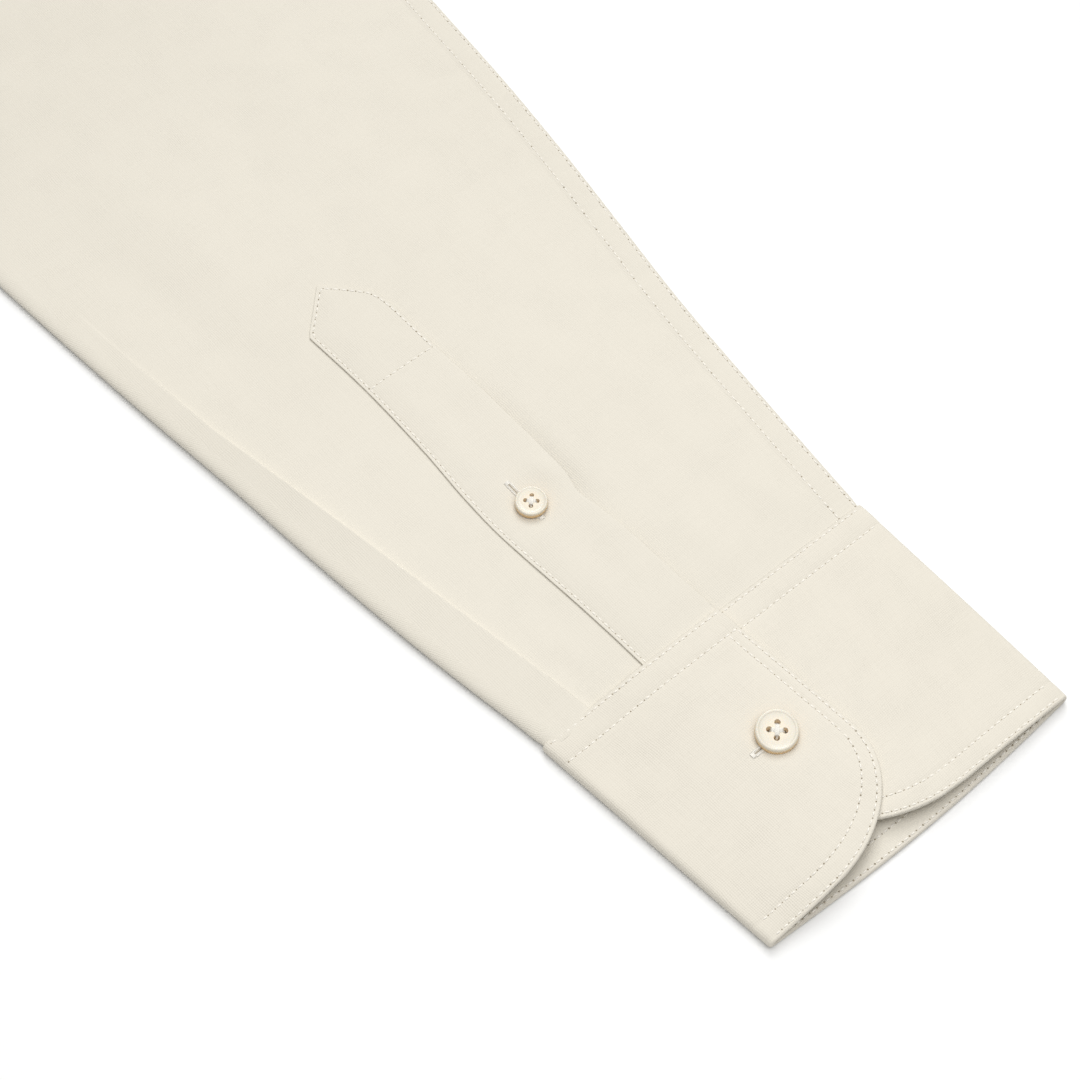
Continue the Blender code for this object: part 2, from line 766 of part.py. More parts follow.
def make_button(name, size, centre, material, place, face_down=False):
    """A four-hole button; its hollow face looks up, or down on the front of the shirt."""
    cx, cy, base = centre
    flip = -1.0 if face_down else 1.0
    bm = bmesh.new()
    rings = []
    for radius, height in button_profile(size):
        ring = []
        for i in range(BUTTON_SIDES):
            turn = 2 * math.pi * i / BUTTON_SIDES
            ring.append(bm.verts.new(place((cx + radius * math.cos(turn), cy + radius * math.sin(turn), base + flip * height))))
        rings.append(ring)
    for low, high in zip(rings, rings[1:]):
        for i in range(BUTTON_SIDES):
            j = (i + 1) % BUTTON_SIDES
            bm.faces.new((low[i], low[j], high[j], high[i]))
    for ring, height in ((rings[0], 0.0), (rings[-1], button_profile(size)[-1][1])):
        close_face_round_holes(bm, ring, size[0] / 2, cx, cy, base + flip * height, place)
    join_hole_walls(bm)
    return make_object(name, bm, material)


def close_face_round_holes(bm, ring, radius, cx, cy, z, place):
    """Fill a button's face between its ring and four square holes, a quarter at a time."""
    out, half = BUTTON_HOLE_OUT * radius, BUTTON_HOLE * radius
    quarter = BUTTON_SIDES // 4
    middle = bm.verts.new(place((cx, cy, z)))
    for q in range(4):
        turn = math.pi / 2 * q
        first = ring[q * quarter:q * quarter + quarter]
        arc = first + [ring[(q * quarter + quarter) % BUTTON_SIDES]]

        def spot(x, y):
            wx = x * math.cos(turn) - y * math.sin(turn)
            wy = x * math.sin(turn) + y * math.cos(turn)
            return place((cx + wx, cy + wy, z))

        near, far = out - half, out + half
        corners = [bm.verts.new(spot(*c)) for c in ((near, near), (far, near), (far, far), (near, far))]
        a, b, c, d = corners
        bm.faces.new((middle, arc[0], a))
        bm.faces.new((a, arc[0], b))
        bm.faces.new((b, arc[0], arc[1], arc[2], c))
        bm.faces.new((c, arc[2], arc[3], arc[4], d))
        bm.faces.new((d, arc[4], a))
        bm.faces.new((a, arc[4], middle))
        for v in corners:
            v.tag = True


def join_hole_walls(bm):
    """Join the corners of each hole in the back to those in the face."""
    corners = [v for v in bm.verts if v.tag]
    half = len(corners) // 2
    for h in range(0, half, 4):
        low, high = corners[h:h + 4], corners[half + h:half + h + 4]
        for i in range(4):
            j = (i + 1) % 4
            bm.faces.new((low[i], low[j], high[j], high[i]))


def disc_top(height_at, centre, radius):
    """The highest point of the cloth under a button."""
    x, y = centre
    places = ((0.0, 0.0), (radius, 0.0), (-radius, 0.0), (0.0, radius), (0.0, -radius))
    return max(height_at(x + dx, y + dy) for dx, dy in places)


def cuff_top(x, y):
    part = y / CUFF_HEIGHT
    fold = mix(CUFF_FOLD[0], CUFF_FOLD[1], part)
    seam = mix(CUFF_UNDERARM[0], CUFF_UNDERARM[1], part)
    return cuff_upper(x, y, fold, seam) + overlap_lift(x) + CUFF_CLOTH / 2


def placket_top(x, y):
    return sleeve_top(x, y, *edges_at(y)) + CLOTH / 2 + SEAM_GAP + 0.05 + CLOTH


def make_shirt():
    remove_old_objects()
    cloth = make_material("shirt_cloth", (0.84, 0.80, 0.70), 0.9)
    shell = make_material("button_resin", (0.86, 0.81, 0.70), 0.25)
    for side, name in ((-1, "left"), (1, "right")):
        place = sleeve_place(side)
        make_sleeve("sleeve_" + name, side, cloth)
        make_sleeve_placket("sleeve_placket_" + name, side, cloth)
        make_cuff("cuff_" + name, side, cloth)
        base = disc_top(cuff_top, CUFF_BUTTON, LARGE_BUTTON[0] * 0.4) + SEAM_GAP
        make_button("cuff_button_" + name, LARGE_BUTTON, (*CUFF_BUTTON, base), shell, place)
        base = disc_top(placket_top, PLACKET_BUTTON, SMALL_BUTTON[0] * 0.4) + SEAM_GAP
        make_button("placket_button_" + name, SMALL_BUTTON, (*PLACKET_BUTTON, base), shell, place)
    panel("front_left", front_grid(-1, BAND_HALF + SEAM_GAP, no_lift), cloth)
    panel("front_right", front_grid(1, UNDERLAP_EDGE, lap_lift), cloth)
    make_front_band("front_band", cloth)
    make_back("back_panel", cloth)
    make_yoke("yoke", cloth)
    make_collar_stand("collar_stand", cloth)
    make_collar_leaf("collar_leaf", cloth)
    for i in range(FRONT_BUTTONS):
        centre = (0.0, FIRST_BUTTON - BUTTON_PITCH * i, LARGE_BUTTON[1])
        make_button("front_button_%d" % (i + 1), LARGE_BUTTON, centre, shell, body_place, face_down=True)
    make_button("stand_button", LARGE_BUTTON, (0.0, STAND_BUTTON, LARGE_BUTTON[1]), shell, body_place, face_down=True)


make_shirt()
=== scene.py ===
# Long-sleeve shirt of fine ecru cotton, buttoned up and laid on its front with its back up.
# The camera looks down on the left cuff and the lower part of its sleeve.
# Sizes are in millimetres; the surface that the shirt lies on is z = 0.

import bmesh
import bpy
import math
import random
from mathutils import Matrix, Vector


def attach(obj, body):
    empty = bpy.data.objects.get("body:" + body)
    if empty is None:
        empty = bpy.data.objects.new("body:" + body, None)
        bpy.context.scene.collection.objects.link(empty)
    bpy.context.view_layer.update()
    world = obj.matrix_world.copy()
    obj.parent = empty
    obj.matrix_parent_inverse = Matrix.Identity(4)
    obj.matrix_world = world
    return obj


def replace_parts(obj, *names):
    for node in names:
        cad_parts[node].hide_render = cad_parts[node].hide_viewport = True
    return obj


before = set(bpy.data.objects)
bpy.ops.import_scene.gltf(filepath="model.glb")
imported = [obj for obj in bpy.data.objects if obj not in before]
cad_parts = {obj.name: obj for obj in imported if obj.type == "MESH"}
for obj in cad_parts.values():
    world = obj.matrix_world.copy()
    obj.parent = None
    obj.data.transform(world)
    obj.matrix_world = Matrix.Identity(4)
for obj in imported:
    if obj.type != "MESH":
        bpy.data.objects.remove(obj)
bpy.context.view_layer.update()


# Sleeves
# Each sleeve is one piece of fine cotton, folded down the outer arm. Its underarm seam is
# felled flat with two rows of topstitch, and one pleat takes up the fullness at the cuff.

MM = 0.001
TABLE_Y = -376.3                  # the body's y below the middle of the whole outline
CLOTH = 1.0                       # height that one layer of cloth takes up
SLEEVE_WALL = 0.8
SHOULDER_HALF = 232.0
SHOULDER_DROP = 52.0
CHEST_HALF = 275.0
ARMHOLE_DEPTH = 245.0
ARMHOLE_HOLLOW = 17.0
SLEEVE_ANGLE = math.radians(68.0)
SLEEVE_LENGTH = 564.0             # from the cuff seam to the shoulder point
OUTER_FOLD_AT_HEAD = -92.8
LAST_SECTION = 340.0
HEAD_TUCK = 1.6                   # the sleeve head runs this far into the armhole seam
SLEEVE_WIDTHS = (
    # up the sleeve, outer fold, underarm seam
    (0.0, -56.4, 56.2),
    (8.0, -57.0, 56.9),
    (28.0, -60.0, 59.4),
    (52.0, -63.1, 62.6),
    (85.0, -66.4, 67.3),
    (118.0, -69.0, 73.4),
    (150.0, -72.0, 79.3),
    (185.0, -74.8, 84.8),
    (225.0, -77.6, 89.8),
    (280.0, -81.2, 97.6),
    (340.0, -84.6, 106.0),
)
FOLD_HEIGHT = 3.1
UNDERARM_HEIGHT = 3.0
BELLY = 1.0
FOLD_ROUND = 3.8                  # how far in from the outer fold the cloth starts to turn down
SEAM_ROUND = 1.3
SEAM_LEVEL = (2.9, 3.45)           # height where the sleeve enters the cuff: at the folds, between
CUFF_BLEND = 15.0
ARMHOLE_LEVEL = 2.0
ARMHOLE_BLEND = 12.0

PLEAT_AT_CUFF = -40.4
PLEAT_LEAN = 0.157                # how far the pleat runs outward for each mm up the sleeve
PLEAT_LENGTH = 205.0
PLEAT_FADE = 110.0
PLEAT_RISE = 2.0
PLEAT_LIP = 0.7
PLEAT_LEAST = 9.0                 # the pleat keeps this far from the outer fold
PLEAT_AT_SEAM = 0.6               # how far it stands up where the cuff holds it
PLEAT_DIP = (1.8, 0.4)            # the dip beside it at the cuff: how far in and how wide, depth

FELL_ROWS = (1.5, 7.7)            # topstitch rows from the seam's edge
FELL_WIDTH = 8.4
FELL_STEP = 0.9                   # the felled seam steps down to the single cloth over this width
FELL_RISE = 0.35
FELL_RIPPLE = 0.09
FELL_DIP = 0.2
CREASE_FADE = 9.0                 # creases fade out over a ninth of the width at each edge
LOWEST = 0.02                     # the lower layer lies this far over the surface
ENTRY_LIFT = (0.4, 5.0)           # it rises this much where it enters the cuff, over this length
ENTRY_INSET = (0.6, 6.0)          # the folds draw in this much there, over this length

SLEEVE_CREASES = (
    # across, along, turn in degrees, half length, half width, rise
    (-46.0, -176.0, 8.0, 78.0, 9.0, -0.75),
    (-27.0, -196.0, 6.0, 66.0, 9.0, 0.5),
    (8.0, -166.0, -30.0, 15.0, 6.0, -0.4),
    (8.0, -206.0, -22.0, 44.0, 10.0, -0.55),
    (30.0, -228.0, -10.0, 60.0, 12.0, 0.45),
    (48.0, -170.0, 14.0, 58.0, 10.0, -0.4),
    (-52.0, -96.0, 5.0, 40.0, 6.0, 0.25),
    (-29.0, -24.0, 4.0, 24.0, 4.5, -0.3),
    (17.0, -20.0, -8.0, 20.0, 5.0, 0.5),
    (30.0, -26.0, 5.0, 26.0, 6.0, -0.45),
    (41.0, -18.0, 10.0, 18.0, 4.0, 0.3),
    (34.0, -78.0, 24.0, 40.0, 8.0, 0.35),
    (-37.0, -9.0, 5.0, 15.0, 2.6, -0.5),
    (29.0, -53.0, -11.0, 16.0, 4.0, -0.45),
    (56.0, -60.0, 60.0, 15.0, 3.5, -0.2),
    (60.0, -104.0, 52.0, 17.0, 4.0, -0.22),
    (68.0, -149.0, 66.0, 15.0, 3.5, -0.2),
    (74.0, -196.0, 58.0, 18.0, 4.5, -0.22),
    (-60.0, -262.0, -30.0, 46.0, 9.0, -0.9),
    (-20.0, -288.0, 58.0, 66.0, 11.0, -1.1),
    (26.0, -312.0, 72.0, 58.0, 10.0, 0.9),
    (64.0, -334.0, 50.0, 52.0, 9.0, -1.0),
    (-48.0, -346.0, 36.0, 58.0, 12.0, 0.8),
    (10.0, -374.0, 62.0, 76.0, 12.0, -1.0),
    (60.0, -402.0, 34.0, 70.0, 10.0, 0.9),
    (-40.0, -430.0, 16.0, 74.0, 13.0, -0.9),
    (22.0, -452.0, 28.0, 66.0, 11.0, -0.8),
    (-66.0, -496.0, -8.0, 52.0, 10.0, 0.7),
    (-12.0, -508.0, 20.0, 44.0, 10.0, 0.7),
)

SLIT_DIP = (
    # up the sleeve, middle of the dip beside the placket's free edge, depth
    (0.0, 3.0, 0.4),
    (9.0, 2.6, 0.35),
    (20.0, 2.2, 0.3),
    (40.0, 1.2, 0.35),
    (50.0, 0.4, 0.85),
    (60.0, 1.2, 1.5),
    (72.0, 1.8, 1.45),
    (90.0, 2.2, 0.85),
    (106.0, 2.3, 0.35),
    (120.0, 2.3, 0.0),
)
SLIT_DIP_HALF = 4.2


def smooth(x):
    """Run from 0 to 1 with soft ends."""
    x = min(1.0, max(0.0, x))
    return x * x * (3.0 - 2.0 * x)


def mix(a, b, part):
    return a + (b - a) * part


def groove(distance, half_width=0.6):
    """The dip that a tight row of stitches pulls into the cloth."""
    return math.exp(-(distance / half_width) ** 2)


def stitch_dips(distance, rows, depth):
    """How far the rows of stitches along an edge draw the cloth down at a distance from it."""
    return depth * sum(groove(distance - row) for row in rows)


def on_fell(from_edge):
    """1 on a felled seam and 0 on the single cloth beyond it."""
    return smooth(0.5 + (FELL_WIDTH - from_edge) / FELL_STEP)


def read_table(table, key):
    """The columns after the first, on a smooth curve through the rows."""
    last = len(table) - 1
    key = min(max(key, table[0][0]), table[last][0])
    i = max(k for k in range(last) if table[k][0] <= key)
    a, b = table[i], table[i + 1]
    before, after = table[max(0, i - 1)], table[min(last, i + 2)]
    span = b[0] - a[0]
    t = (key - a[0]) / span
    found = []
    for c in range(1, len(a)):
        start = (b[c] - before[c]) / (b[0] - before[0]) * span
        end = (after[c] - a[c]) / (after[0] - a[0]) * span
        found.append(
            (2 * t ** 3 - 3 * t ** 2 + 1) * a[c] + (t ** 3 - 2 * t ** 2 + t) * start
            + (3 * t ** 2 - 2 * t ** 3) * b[c] + (t ** 3 - t ** 2) * end
        )
    return found


def crease_rise(creases, x, y):
    """Soft troughs and ridges of the cloth at one place."""
    rise = 0.0
    for cx, cy, degrees, half_length, half_width, height in creases:
        dx, dy = x - cx, y - cy
        if abs(dx) + abs(dy) > half_length + half_width * 4:
            continue
        turn = math.radians(degrees)
        along = dx * math.sin(turn) + dy * math.cos(turn)
        across = dx * math.cos(turn) - dy * math.sin(turn)
        if abs(along) < half_length:
            fading = math.cos(math.pi / 2 * along / half_length) ** 2
            rise += height * fading * groove(across, half_width)
    return rise


def on_table(x, y, z):
    """A point of the body, measured from the high shoulder point beside the neck."""
    return (x * MM, (y - TABLE_Y) * MM, z * MM)


def sleeve_axes(side):
    """The middle of the cuff seam, and the directions along and across the sleeve."""
    along = (side * math.sin(SLEEVE_ANGLE), -math.cos(SLEEVE_ANGLE))
    across = (-side * math.cos(SLEEVE_ANGLE), -math.sin(SLEEVE_ANGLE))
    shoulder = (side * SHOULDER_HALF, -SHOULDER_DROP)
    middle = [shoulder[i] - OUTER_FOLD_AT_HEAD * across[i] + SLEEVE_LENGTH * along[i] for i in (0, 1)]
    return middle, along, across


def on_sleeve(side):
    """Places a point given across, along and up from the middle of a sleeve's cuff seam."""
    middle, along, across = sleeve_axes(side)

    def place(x, y, z):
        flat = [middle[i] + x * across[i] + y * along[i] for i in (0, 1)]
        return on_table(flat[0], flat[1], z)

    return place


def armhole(part, clear=0.0):
    """The left armhole from the shoulder at 0 to the underarm at 1."""
    x = mix(-SHOULDER_HALF, -CHEST_HALF, part)
    y = mix(-SHOULDER_DROP, -SHOULDER_DROP - ARMHOLE_DEPTH, part)
    return x + ARMHOLE_HOLLOW * math.sin(math.pi * part ** 1.25) - clear, y


def sleeve_head(part):
    """The armhole curve across and along the sleeve."""
    x, y = armhole(part, -HEAD_TUCK)
    middle, along, across = sleeve_axes(-1)
    dx, dy = x - middle[0], y - middle[1]
    return dx * across[0] + dy * across[1], dx * along[0] + dy * along[1]


def sleeve_edges(y):
    return read_table(SLEEVE_WIDTHS, -y)


def sleeve_spot(part, up):
    """Across and along at a share of the width, on the row that starts this far up the outer fold."""
    part = min(1.0, max(0.0, part))
    fold, seam = sleeve_edges(-min(up, LAST_SECTION))
    x = mix(fold, seam, part)
    if up <= LAST_SECTION:
        return x, -up
    t = (up - LAST_SECTION) / (SLEEVE_LENGTH - LAST_SECTION)
    head = sleeve_head(part)
    return mix(x, head[0], t), mix(-LAST_SECTION, head[1], t)


def pleat_line(y, fold):
    return max(PLEAT_AT_CUFF + PLEAT_LEAN * y, fold + PLEAT_LEAST)


def slit_dip(x, y):
    """How far the sleeve sinks beside the free edge of its placket."""
    if -y > SLIT_DIP[-1][0]:
        return 0.0
    middle, depth = read_table(SLIT_DIP, -y)
    return depth * groove(x - middle, SLIT_DIP_HALF)


def sleeve_skin(x, y, fold, seam, to_head=1000.0):
    """Height of the sleeve's upper face."""
    part = min(1.0, max(0.0, (x - fold) / (seam - fold)))
    level = mix(FOLD_HEIGHT, UNDERARM_HEIGHT, smooth(part * 1.6)) + BELLY * math.sin(math.pi * part)
    pleat = pleat_line(y, fold)
    over_pleat = smooth(0.5 - (x - pleat) / PLEAT_LIP)
    climb = min(1.0, max(0.0, (x - fold) / (pleat - fold)))
    rise = PLEAT_RISE * smooth((PLEAT_LENGTH + y) / PLEAT_FADE) * mix(0.6, 1.0, smooth(-y / PLEAT_FADE))
    level += rise * over_pleat * climb
    ripple = FELL_RIPPLE * math.sin(y * 1.05 + 1.9 * math.sin(y / 19.0)) * (0.6 + 0.4 * math.sin(y / 31.0))
    level += on_fell(seam - x) * (FELL_RISE + ripple) - stitch_dips(seam - x, FELL_ROWS, FELL_DIP)
    inside = smooth(part * CREASE_FADE) * smooth((1.0 - part) * CREASE_FADE + 0.35)
    level += crease_rise(SLEEVE_CREASES, x, y) * inside
    at_cuff = mix(*SEAM_LEVEL, math.sin(math.pi * part)) + PLEAT_AT_SEAM * over_pleat
    at_cuff -= PLEAT_DIP[1] * groove(x - pleat - PLEAT_DIP[0], PLEAT_DIP[0])
    level = mix(at_cuff, level, smooth(-y / CUFF_BLEND)) - slit_dip(x, y)
    return mix(ARMHOLE_LEVEL, level, smooth(to_head / ARMHOLE_BLEND))


def sleeve_top(x, y):
    """The same height where only the place is known, below the last section."""
    return sleeve_skin(x, y, *sleeve_edges(y))


def upper_places(fold, seam, pleat):
    """Where the upper layer's points stand across the sleeve, closest at the pleat and stitches."""
    left = fold + FOLD_ROUND
    places = [mix(left, pleat - 1.3, i / 8) for i in range(9)]
    places += [pleat + d for d in (-0.9, -0.6, -0.35, -0.12, 0.12, 0.35, 0.6, 0.9, 1.3)]
    start, end = pleat + 2.4, seam - 9.4
    places += [mix(start, end, i / 62) for i in range(63)]
    places += [seam - d for d in (8.9, 8.5, 8.1, 7.7, 7.2, 6.5, 5.2, 3.8, 2.6, 2.0, 1.6)]
    return places


def sleeve_ring(up):
    """Outer and inner points once round the sleeve: upper layer, seam, lower layer, outer fold."""
    fold = sleeve_spot(0.0, up)[0]
    seam = sleeve_spot(1.0, up)[0]
    width = seam - fold
    to_head = SLEEVE_LENGTH - up
    inset = ENTRY_INSET[0] * smooth(1.0 - up / ENTRY_INSET[1])
    low = LOWEST + ENTRY_LIFT[0] * smooth(1.0 - up / ENTRY_LIFT[1])
    outer, inner = [], []

    def spot_at(x):
        return sleeve_spot((x - fold) / width, up)

    for place_x in upper_places(fold, seam, pleat_line(spot_at(fold)[1], fold)):
        x, y = spot_at(place_x)
        z = sleeve_skin(place_x, y, fold, seam, to_head)
        outer.append((x, y, z))
        inner.append((x, y, z - SLEEVE_WALL))

    def turn_over(edge, outward, reach, top, steps):
        centre = edge - outward * reach
        high = (top - low) / 2
        for i in range(1, steps):
            angle = math.pi / 2 - math.pi * i / steps
            for points, wall in ((outer, 0.0), (inner, SLEEVE_WALL)):
                across = max(0.15, reach - wall) * math.cos(angle)
                up_by = max(0.1, high - wall) * math.sin(angle)
                points.append((*spot_at(centre + outward * across), low + high + up_by))

    turn_over(seam - inset, 1, SEAM_ROUND, outer[-1][2], 6)
    for i in range(25):
        x = mix(seam - inset - SEAM_ROUND, fold + inset + FOLD_ROUND, i / 24)
        outer.append((*spot_at(x), low))
        inner.append((*spot_at(x), low + SLEEVE_WALL))
    count = len(outer)
    turn_over(fold + inset, -1, FOLD_ROUND, outer[0][2], 8)
    outer[count:] = outer[count:][::-1]
    inner[count:] = inner[count:][::-1]
    return outer, inner


def round_the_tube(row):
    """The cut's coordinates at each point once round a tube of cloth."""
    at = row[0][0]
    line = [(at, row[0][1])]
    for a, b in zip(row, row[1:] + row[:1]):
        at += math.hypot(b[0] - a[0], b[2] - a[2])
        line.append((at, b[1]))
    return line


def build_cloth(name, outer, inner, place, material, grain=None):
    """Closes one wall of cloth between two matching grids of points, with the cut's own
    coordinates in millimetres, the grain, as its UV map. A piece given none is a tube."""
    rows, columns = len(outer), len(outer[0])
    spans = columns - 1 if grain else columns
    points = [place(*p) for grid in (outer, inner) for row in grid for p in row]
    cut = grain or [round_the_tube(row) for row in outer]
    faces, corners = [], []

    def add(*spots):
        faces.append([g * rows * columns + r * columns + c % columns for g, r, c in spots])
        corners.extend(cut[r][c] for g, r, c in spots)

    for r in range(rows - 1):
        for c in range(spans):
            add((0, r, c), (0, r, c + 1), (0, r + 1, c + 1), (0, r + 1, c))
            add((1, r, c), (1, r + 1, c), (1, r + 1, c + 1), (1, r, c + 1))
    for r in (0, rows - 1):
        for c in range(spans):
            add((0, r, c), (1, r, c), (1, r, c + 1), (0, r, c + 1))
    if grain:
        for c in (0, columns - 1):
            for r in range(rows - 1):
                add((0, r, c), (0, r + 1, c), (1, r + 1, c), (1, r, c))
    mesh = bpy.data.meshes.new(name)
    mesh.from_pydata(points, [], faces)
    layer = mesh.uv_layers.new(name="cut")
    layer.data.foreach_set("uv", [k for corner in corners for k in corner])
    wall = bmesh.new()
    wall.from_mesh(mesh)
    bmesh.ops.recalc_face_normals(wall, faces=wall.faces)
    wall.to_mesh(mesh)
    wall.free()
    mesh.materials.append(material)
    mesh.shade_smooth()
    return riding(name, mesh)


def riding(name, mesh):
    """A new piece made of the mesh, on the shirt's one body."""
    piece = bpy.data.objects.new(name, mesh)
    bpy.context.collection.objects.link(piece)
    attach(piece, "root")
    return piece


STITCH_PITCH = 2.35
STITCH_SHARE = 0.66               # of the pitch that the thread covers
THREAD_HALF = 0.25
THREAD_RISE = 0.15
THREAD_RINGS = ((0.2, 0.8), (0.5, 1.0), (0.8, 0.8))   # share of the length, share of the thickness
THREAD_SIDES = 5
THREAD_DIP = 0.06                 # a stitch's ends go this far into the cloth
SEWING_SLACK = 0.05               # unevenness of the sewing
# each needle hole is marked by a flat dark spot of painted shade: its radius, and the sides of its outline
NEEDLE_HOLE = 0.28
NEEDLE_HOLE_SIDES = 6


def add_thread(mesh, start, end, up, half=THREAD_HALF, rise=THREAD_RISE, sides=THREAD_SIDES):
    """One stitch, a short rounded length of thread whose ends dip into the cloth."""
    points, faces, kinds = mesh
    line = end - start
    side = line.cross(up).normalized() * half * MM
    lift = up * half * MM * 0.8
    first = len(points)
    points.append(tuple(start - up * THREAD_DIP * MM))
    for share, thick in THREAD_RINGS:
        centre = start + line * share + up * rise * MM * math.sin(math.pi * share) - lift * 0.4
        for k in range(sides):
            turn = 2 * math.pi * k / sides
            points.append(tuple(centre + (side * math.cos(turn) + lift * math.sin(turn)) * thick))
    points.append(tuple(end - up * THREAD_DIP * MM))
    last = len(points) - 1
    for k in range(sides):
        n = (k + 1) % sides
        faces.append((first, first + 1 + n, first + 1 + k))
        for ring in range(len(THREAD_RINGS) - 1):
            a = first + 1 + ring * sides
            faces.append((a + k, a + n, a + sides + n, a + sides + k))
        faces.append((last - sides + k, last - sides + n, last))
    kinds.extend([0] * (len(faces) - len(kinds)))


def add_hole_shade(mesh, centre, up, radius=NEEDLE_HOLE):
    """Painted shade of the small hole where the thread goes down: a flat dark lens in the cloth."""
    points, faces, kinds = mesh
    side = up.orthogonal().normalized()
    other = up.cross(side)
    first = len(points)
    points.append(tuple(centre + up * 0.05 * MM))
    points.append(tuple(centre - up * 0.1 * MM))
    for k in range(NEEDLE_HOLE_SIDES):
        turn = 2 * math.pi / NEEDLE_HOLE_SIDES * k
        points.append(tuple(centre + (side * math.cos(turn) + other * math.sin(turn)) * radius * MM))
    for k in range(NEEDLE_HOLE_SIDES):
        a, b = first + 2 + k, first + 2 + (k + 1) % NEEDLE_HOLE_SIDES
        faces.append((first, a, b))
        faces.append((first + 1, b, a))
    kinds.extend([1] * (2 * NEEDLE_HOLE_SIDES))


def sew_row(mesh, row, up=None):
    """Runs a row of stitches along a line of points, each with its own way up or all alike."""
    ups = up if isinstance(up, list) else [up or Vector((0, 0, 1))] * len(row)
    spots = [Vector(p) for p in row]
    lengths = [0.0]
    for a, b in zip(spots, spots[1:]):
        lengths.append(lengths[-1] + (b - a).length / MM)
    total = lengths[-1]
    count = max(1, round(total / STITCH_PITCH))
    step = total / count
    at = 0

    def walk(distance):
        nonlocal at
        while at < len(spots) - 2 and lengths[at + 1] < distance:
            at += 1
        part = (distance - lengths[at]) / (lengths[at + 1] - lengths[at])
        return spots[at].lerp(spots[at + 1], part), ups[at]

    gap = (1.0 - STITCH_SHARE) / 2
    for i in range(count):
        hole, way = walk(i * step)
        slack = sewing.uniform(-SEWING_SLACK, SEWING_SLACK)
        start = walk((i + gap + slack * 0.5) * step)[0]
        end = walk((i + 1 - gap + slack) * step)[0]
        add_thread(mesh, start, end, way, THREAD_HALF * sewing.uniform(0.85, 1.1))
        # a spot of painted shade where the needle hole is
        add_hole_shade(mesh, hole, way, NEEDLE_HOLE * sewing.uniform(0.75, 1.05))


sewing = random.Random(11)


def finish_stitching(name, mesh, materials):
    """Makes one joined piece of all the stitches on a piece of cloth."""
    points, faces, kinds = mesh
    made = bpy.data.meshes.new(name)
    made.from_pydata(points, [], faces)
    for material in materials:
        made.materials.append(material)
    made.polygons.foreach_set("material_index", kinds)
    made.shade_smooth()
    return riding(name, made)


def height_row(place, spots, height, lift=0.0):
    """Points of a row laid on a surface whose height is known at each spot."""
    return [place(x, y, height(x, y) + lift) for x, y in spots]


def even_spots(spots, spacing=1.5):
    """The same line with points close together."""
    found = [spots[0]]
    for a, b in zip(spots, spots[1:]):
        count = max(1, round(math.dist(a, b) / spacing))
        found += [(mix(a[0], b[0], i / count), mix(a[1], b[1], i / count)) for i in range(1, count + 1)]
    return found


def start_material(name, roughness):
    """A new material: itself, its shader, and one function that adds a node and one that links."""
    material = bpy.data.materials.new(name)
    material.use_nodes = True
    tree = material.node_tree
    shader = tree.nodes["Principled BSDF"]
    shader.inputs["Roughness"].default_value = roughness

    def add(kind, inputs=(), **settings):
        node = tree.nodes.new("ShaderNode" + kind)
        for setting, value in settings.items():
            setattr(node, setting, value)
        for socket, value in inputs:
            if isinstance(value, bpy.types.NodeSocket):
                tree.links.new(value, node.inputs[socket])
            else:
                node.inputs[socket].default_value = value
        return node

    return material, shader, add, tree.links.new


def blend(add, level, low, low_colour, high, high_colour):
    """A colour between two, by a level between low and high."""
    ramp = add("ValToRGB", [(0, level)])
    for stop, position, colour in zip(ramp.color_ramp.elements, (low, high), (low_colour, high_colour)):
        stop.position = position
        stop.color = (*colour, 1.0)
    return ramp.outputs[0]


def cotton(name, colour, deep, yarn, depth, roughness):
    """Fine cotton: yarns crossing at right angles, seen more in some places than in others, with
    faint slubs, a soft nap seen as sheen and slow changes of tone over the cloth."""
    material, shader, add, link = start_material(name, roughness)
    shader.inputs["Specular IOR Level"].default_value = 0.22
    shader.inputs["Sheen Weight"].default_value = 0.12
    shader.inputs["Sheen Roughness"].default_value = 0.5
    shader.inputs["Sheen Tint"].default_value = (1.0, 0.98, 0.93, 1.0)
    cut = add("UVMap", uv_map="cut").outputs["UV"]
    axes = add("SeparateXYZ", [(0, cut)]).outputs

    def total(*values):
        found = values[0]
        for value in values[1:]:
            found = add("Math", [(0, found), (1, value)], operation="ADD").outputs[0]
        return found

    def scaled(value, factor):
        return add("Math", [(0, value), (1, factor)], operation="MULTIPLY").outputs[0]

    def noise(scale_across, scale_along, detail):
        where = add("Mapping", [("Scale", (scale_across, scale_along, 1.0)), ("Vector", cut)]).outputs[0]
        inputs = [("Scale", 1.0), ("Detail", detail), ("Vector", where)]
        return add("TexNoise", inputs, noise_dimensions="2D").outputs["Fac"]

    def yarns(at, pitch):
        return add("Math", [(0, scaled(at, 2 * math.pi / pitch))], operation="SINE").outputs[0]

    wander = scaled(noise(0.12, 0.12, 2.0), 1.2)
    warp = yarns(total(axes["X"], wander), yarn)
    weft = yarns(total(axes["Y"], wander), yarn * 0.92)
    patches = scaled(noise(0.09, 0.09, 1.0), 1.6)
    weave = scaled(total(scaled(warp, 0.7), scaled(weft, 0.55)), patches)
    slubs = total(noise(1.7, 0.07, 2.0), noise(0.07, 1.7, 2.0))
    fibres = noise(3.2, 3.2, 4.0)
    relief = total(scaled(weave, 0.3), scaled(total(slubs, fibres), 0.4))
    raised = add("Bump", [("Strength", 0.6 * depth), ("Distance", 0.00016), ("Height", relief)])
    link(raised.outputs[0], shader.inputs["Normal"])
    tone = total(
        scaled(weave, depth * 0.085), scaled(slubs, depth * 0.12), scaled(noise(0.009, 0.009, 1.0), 0.2),
        scaled(fibres, depth * 0.08), (1.0 - depth) * 0.09,
    )
    link(blend(add, tone, 0.0, deep, 0.64, colour), shader.inputs["Base Color"])
    return material


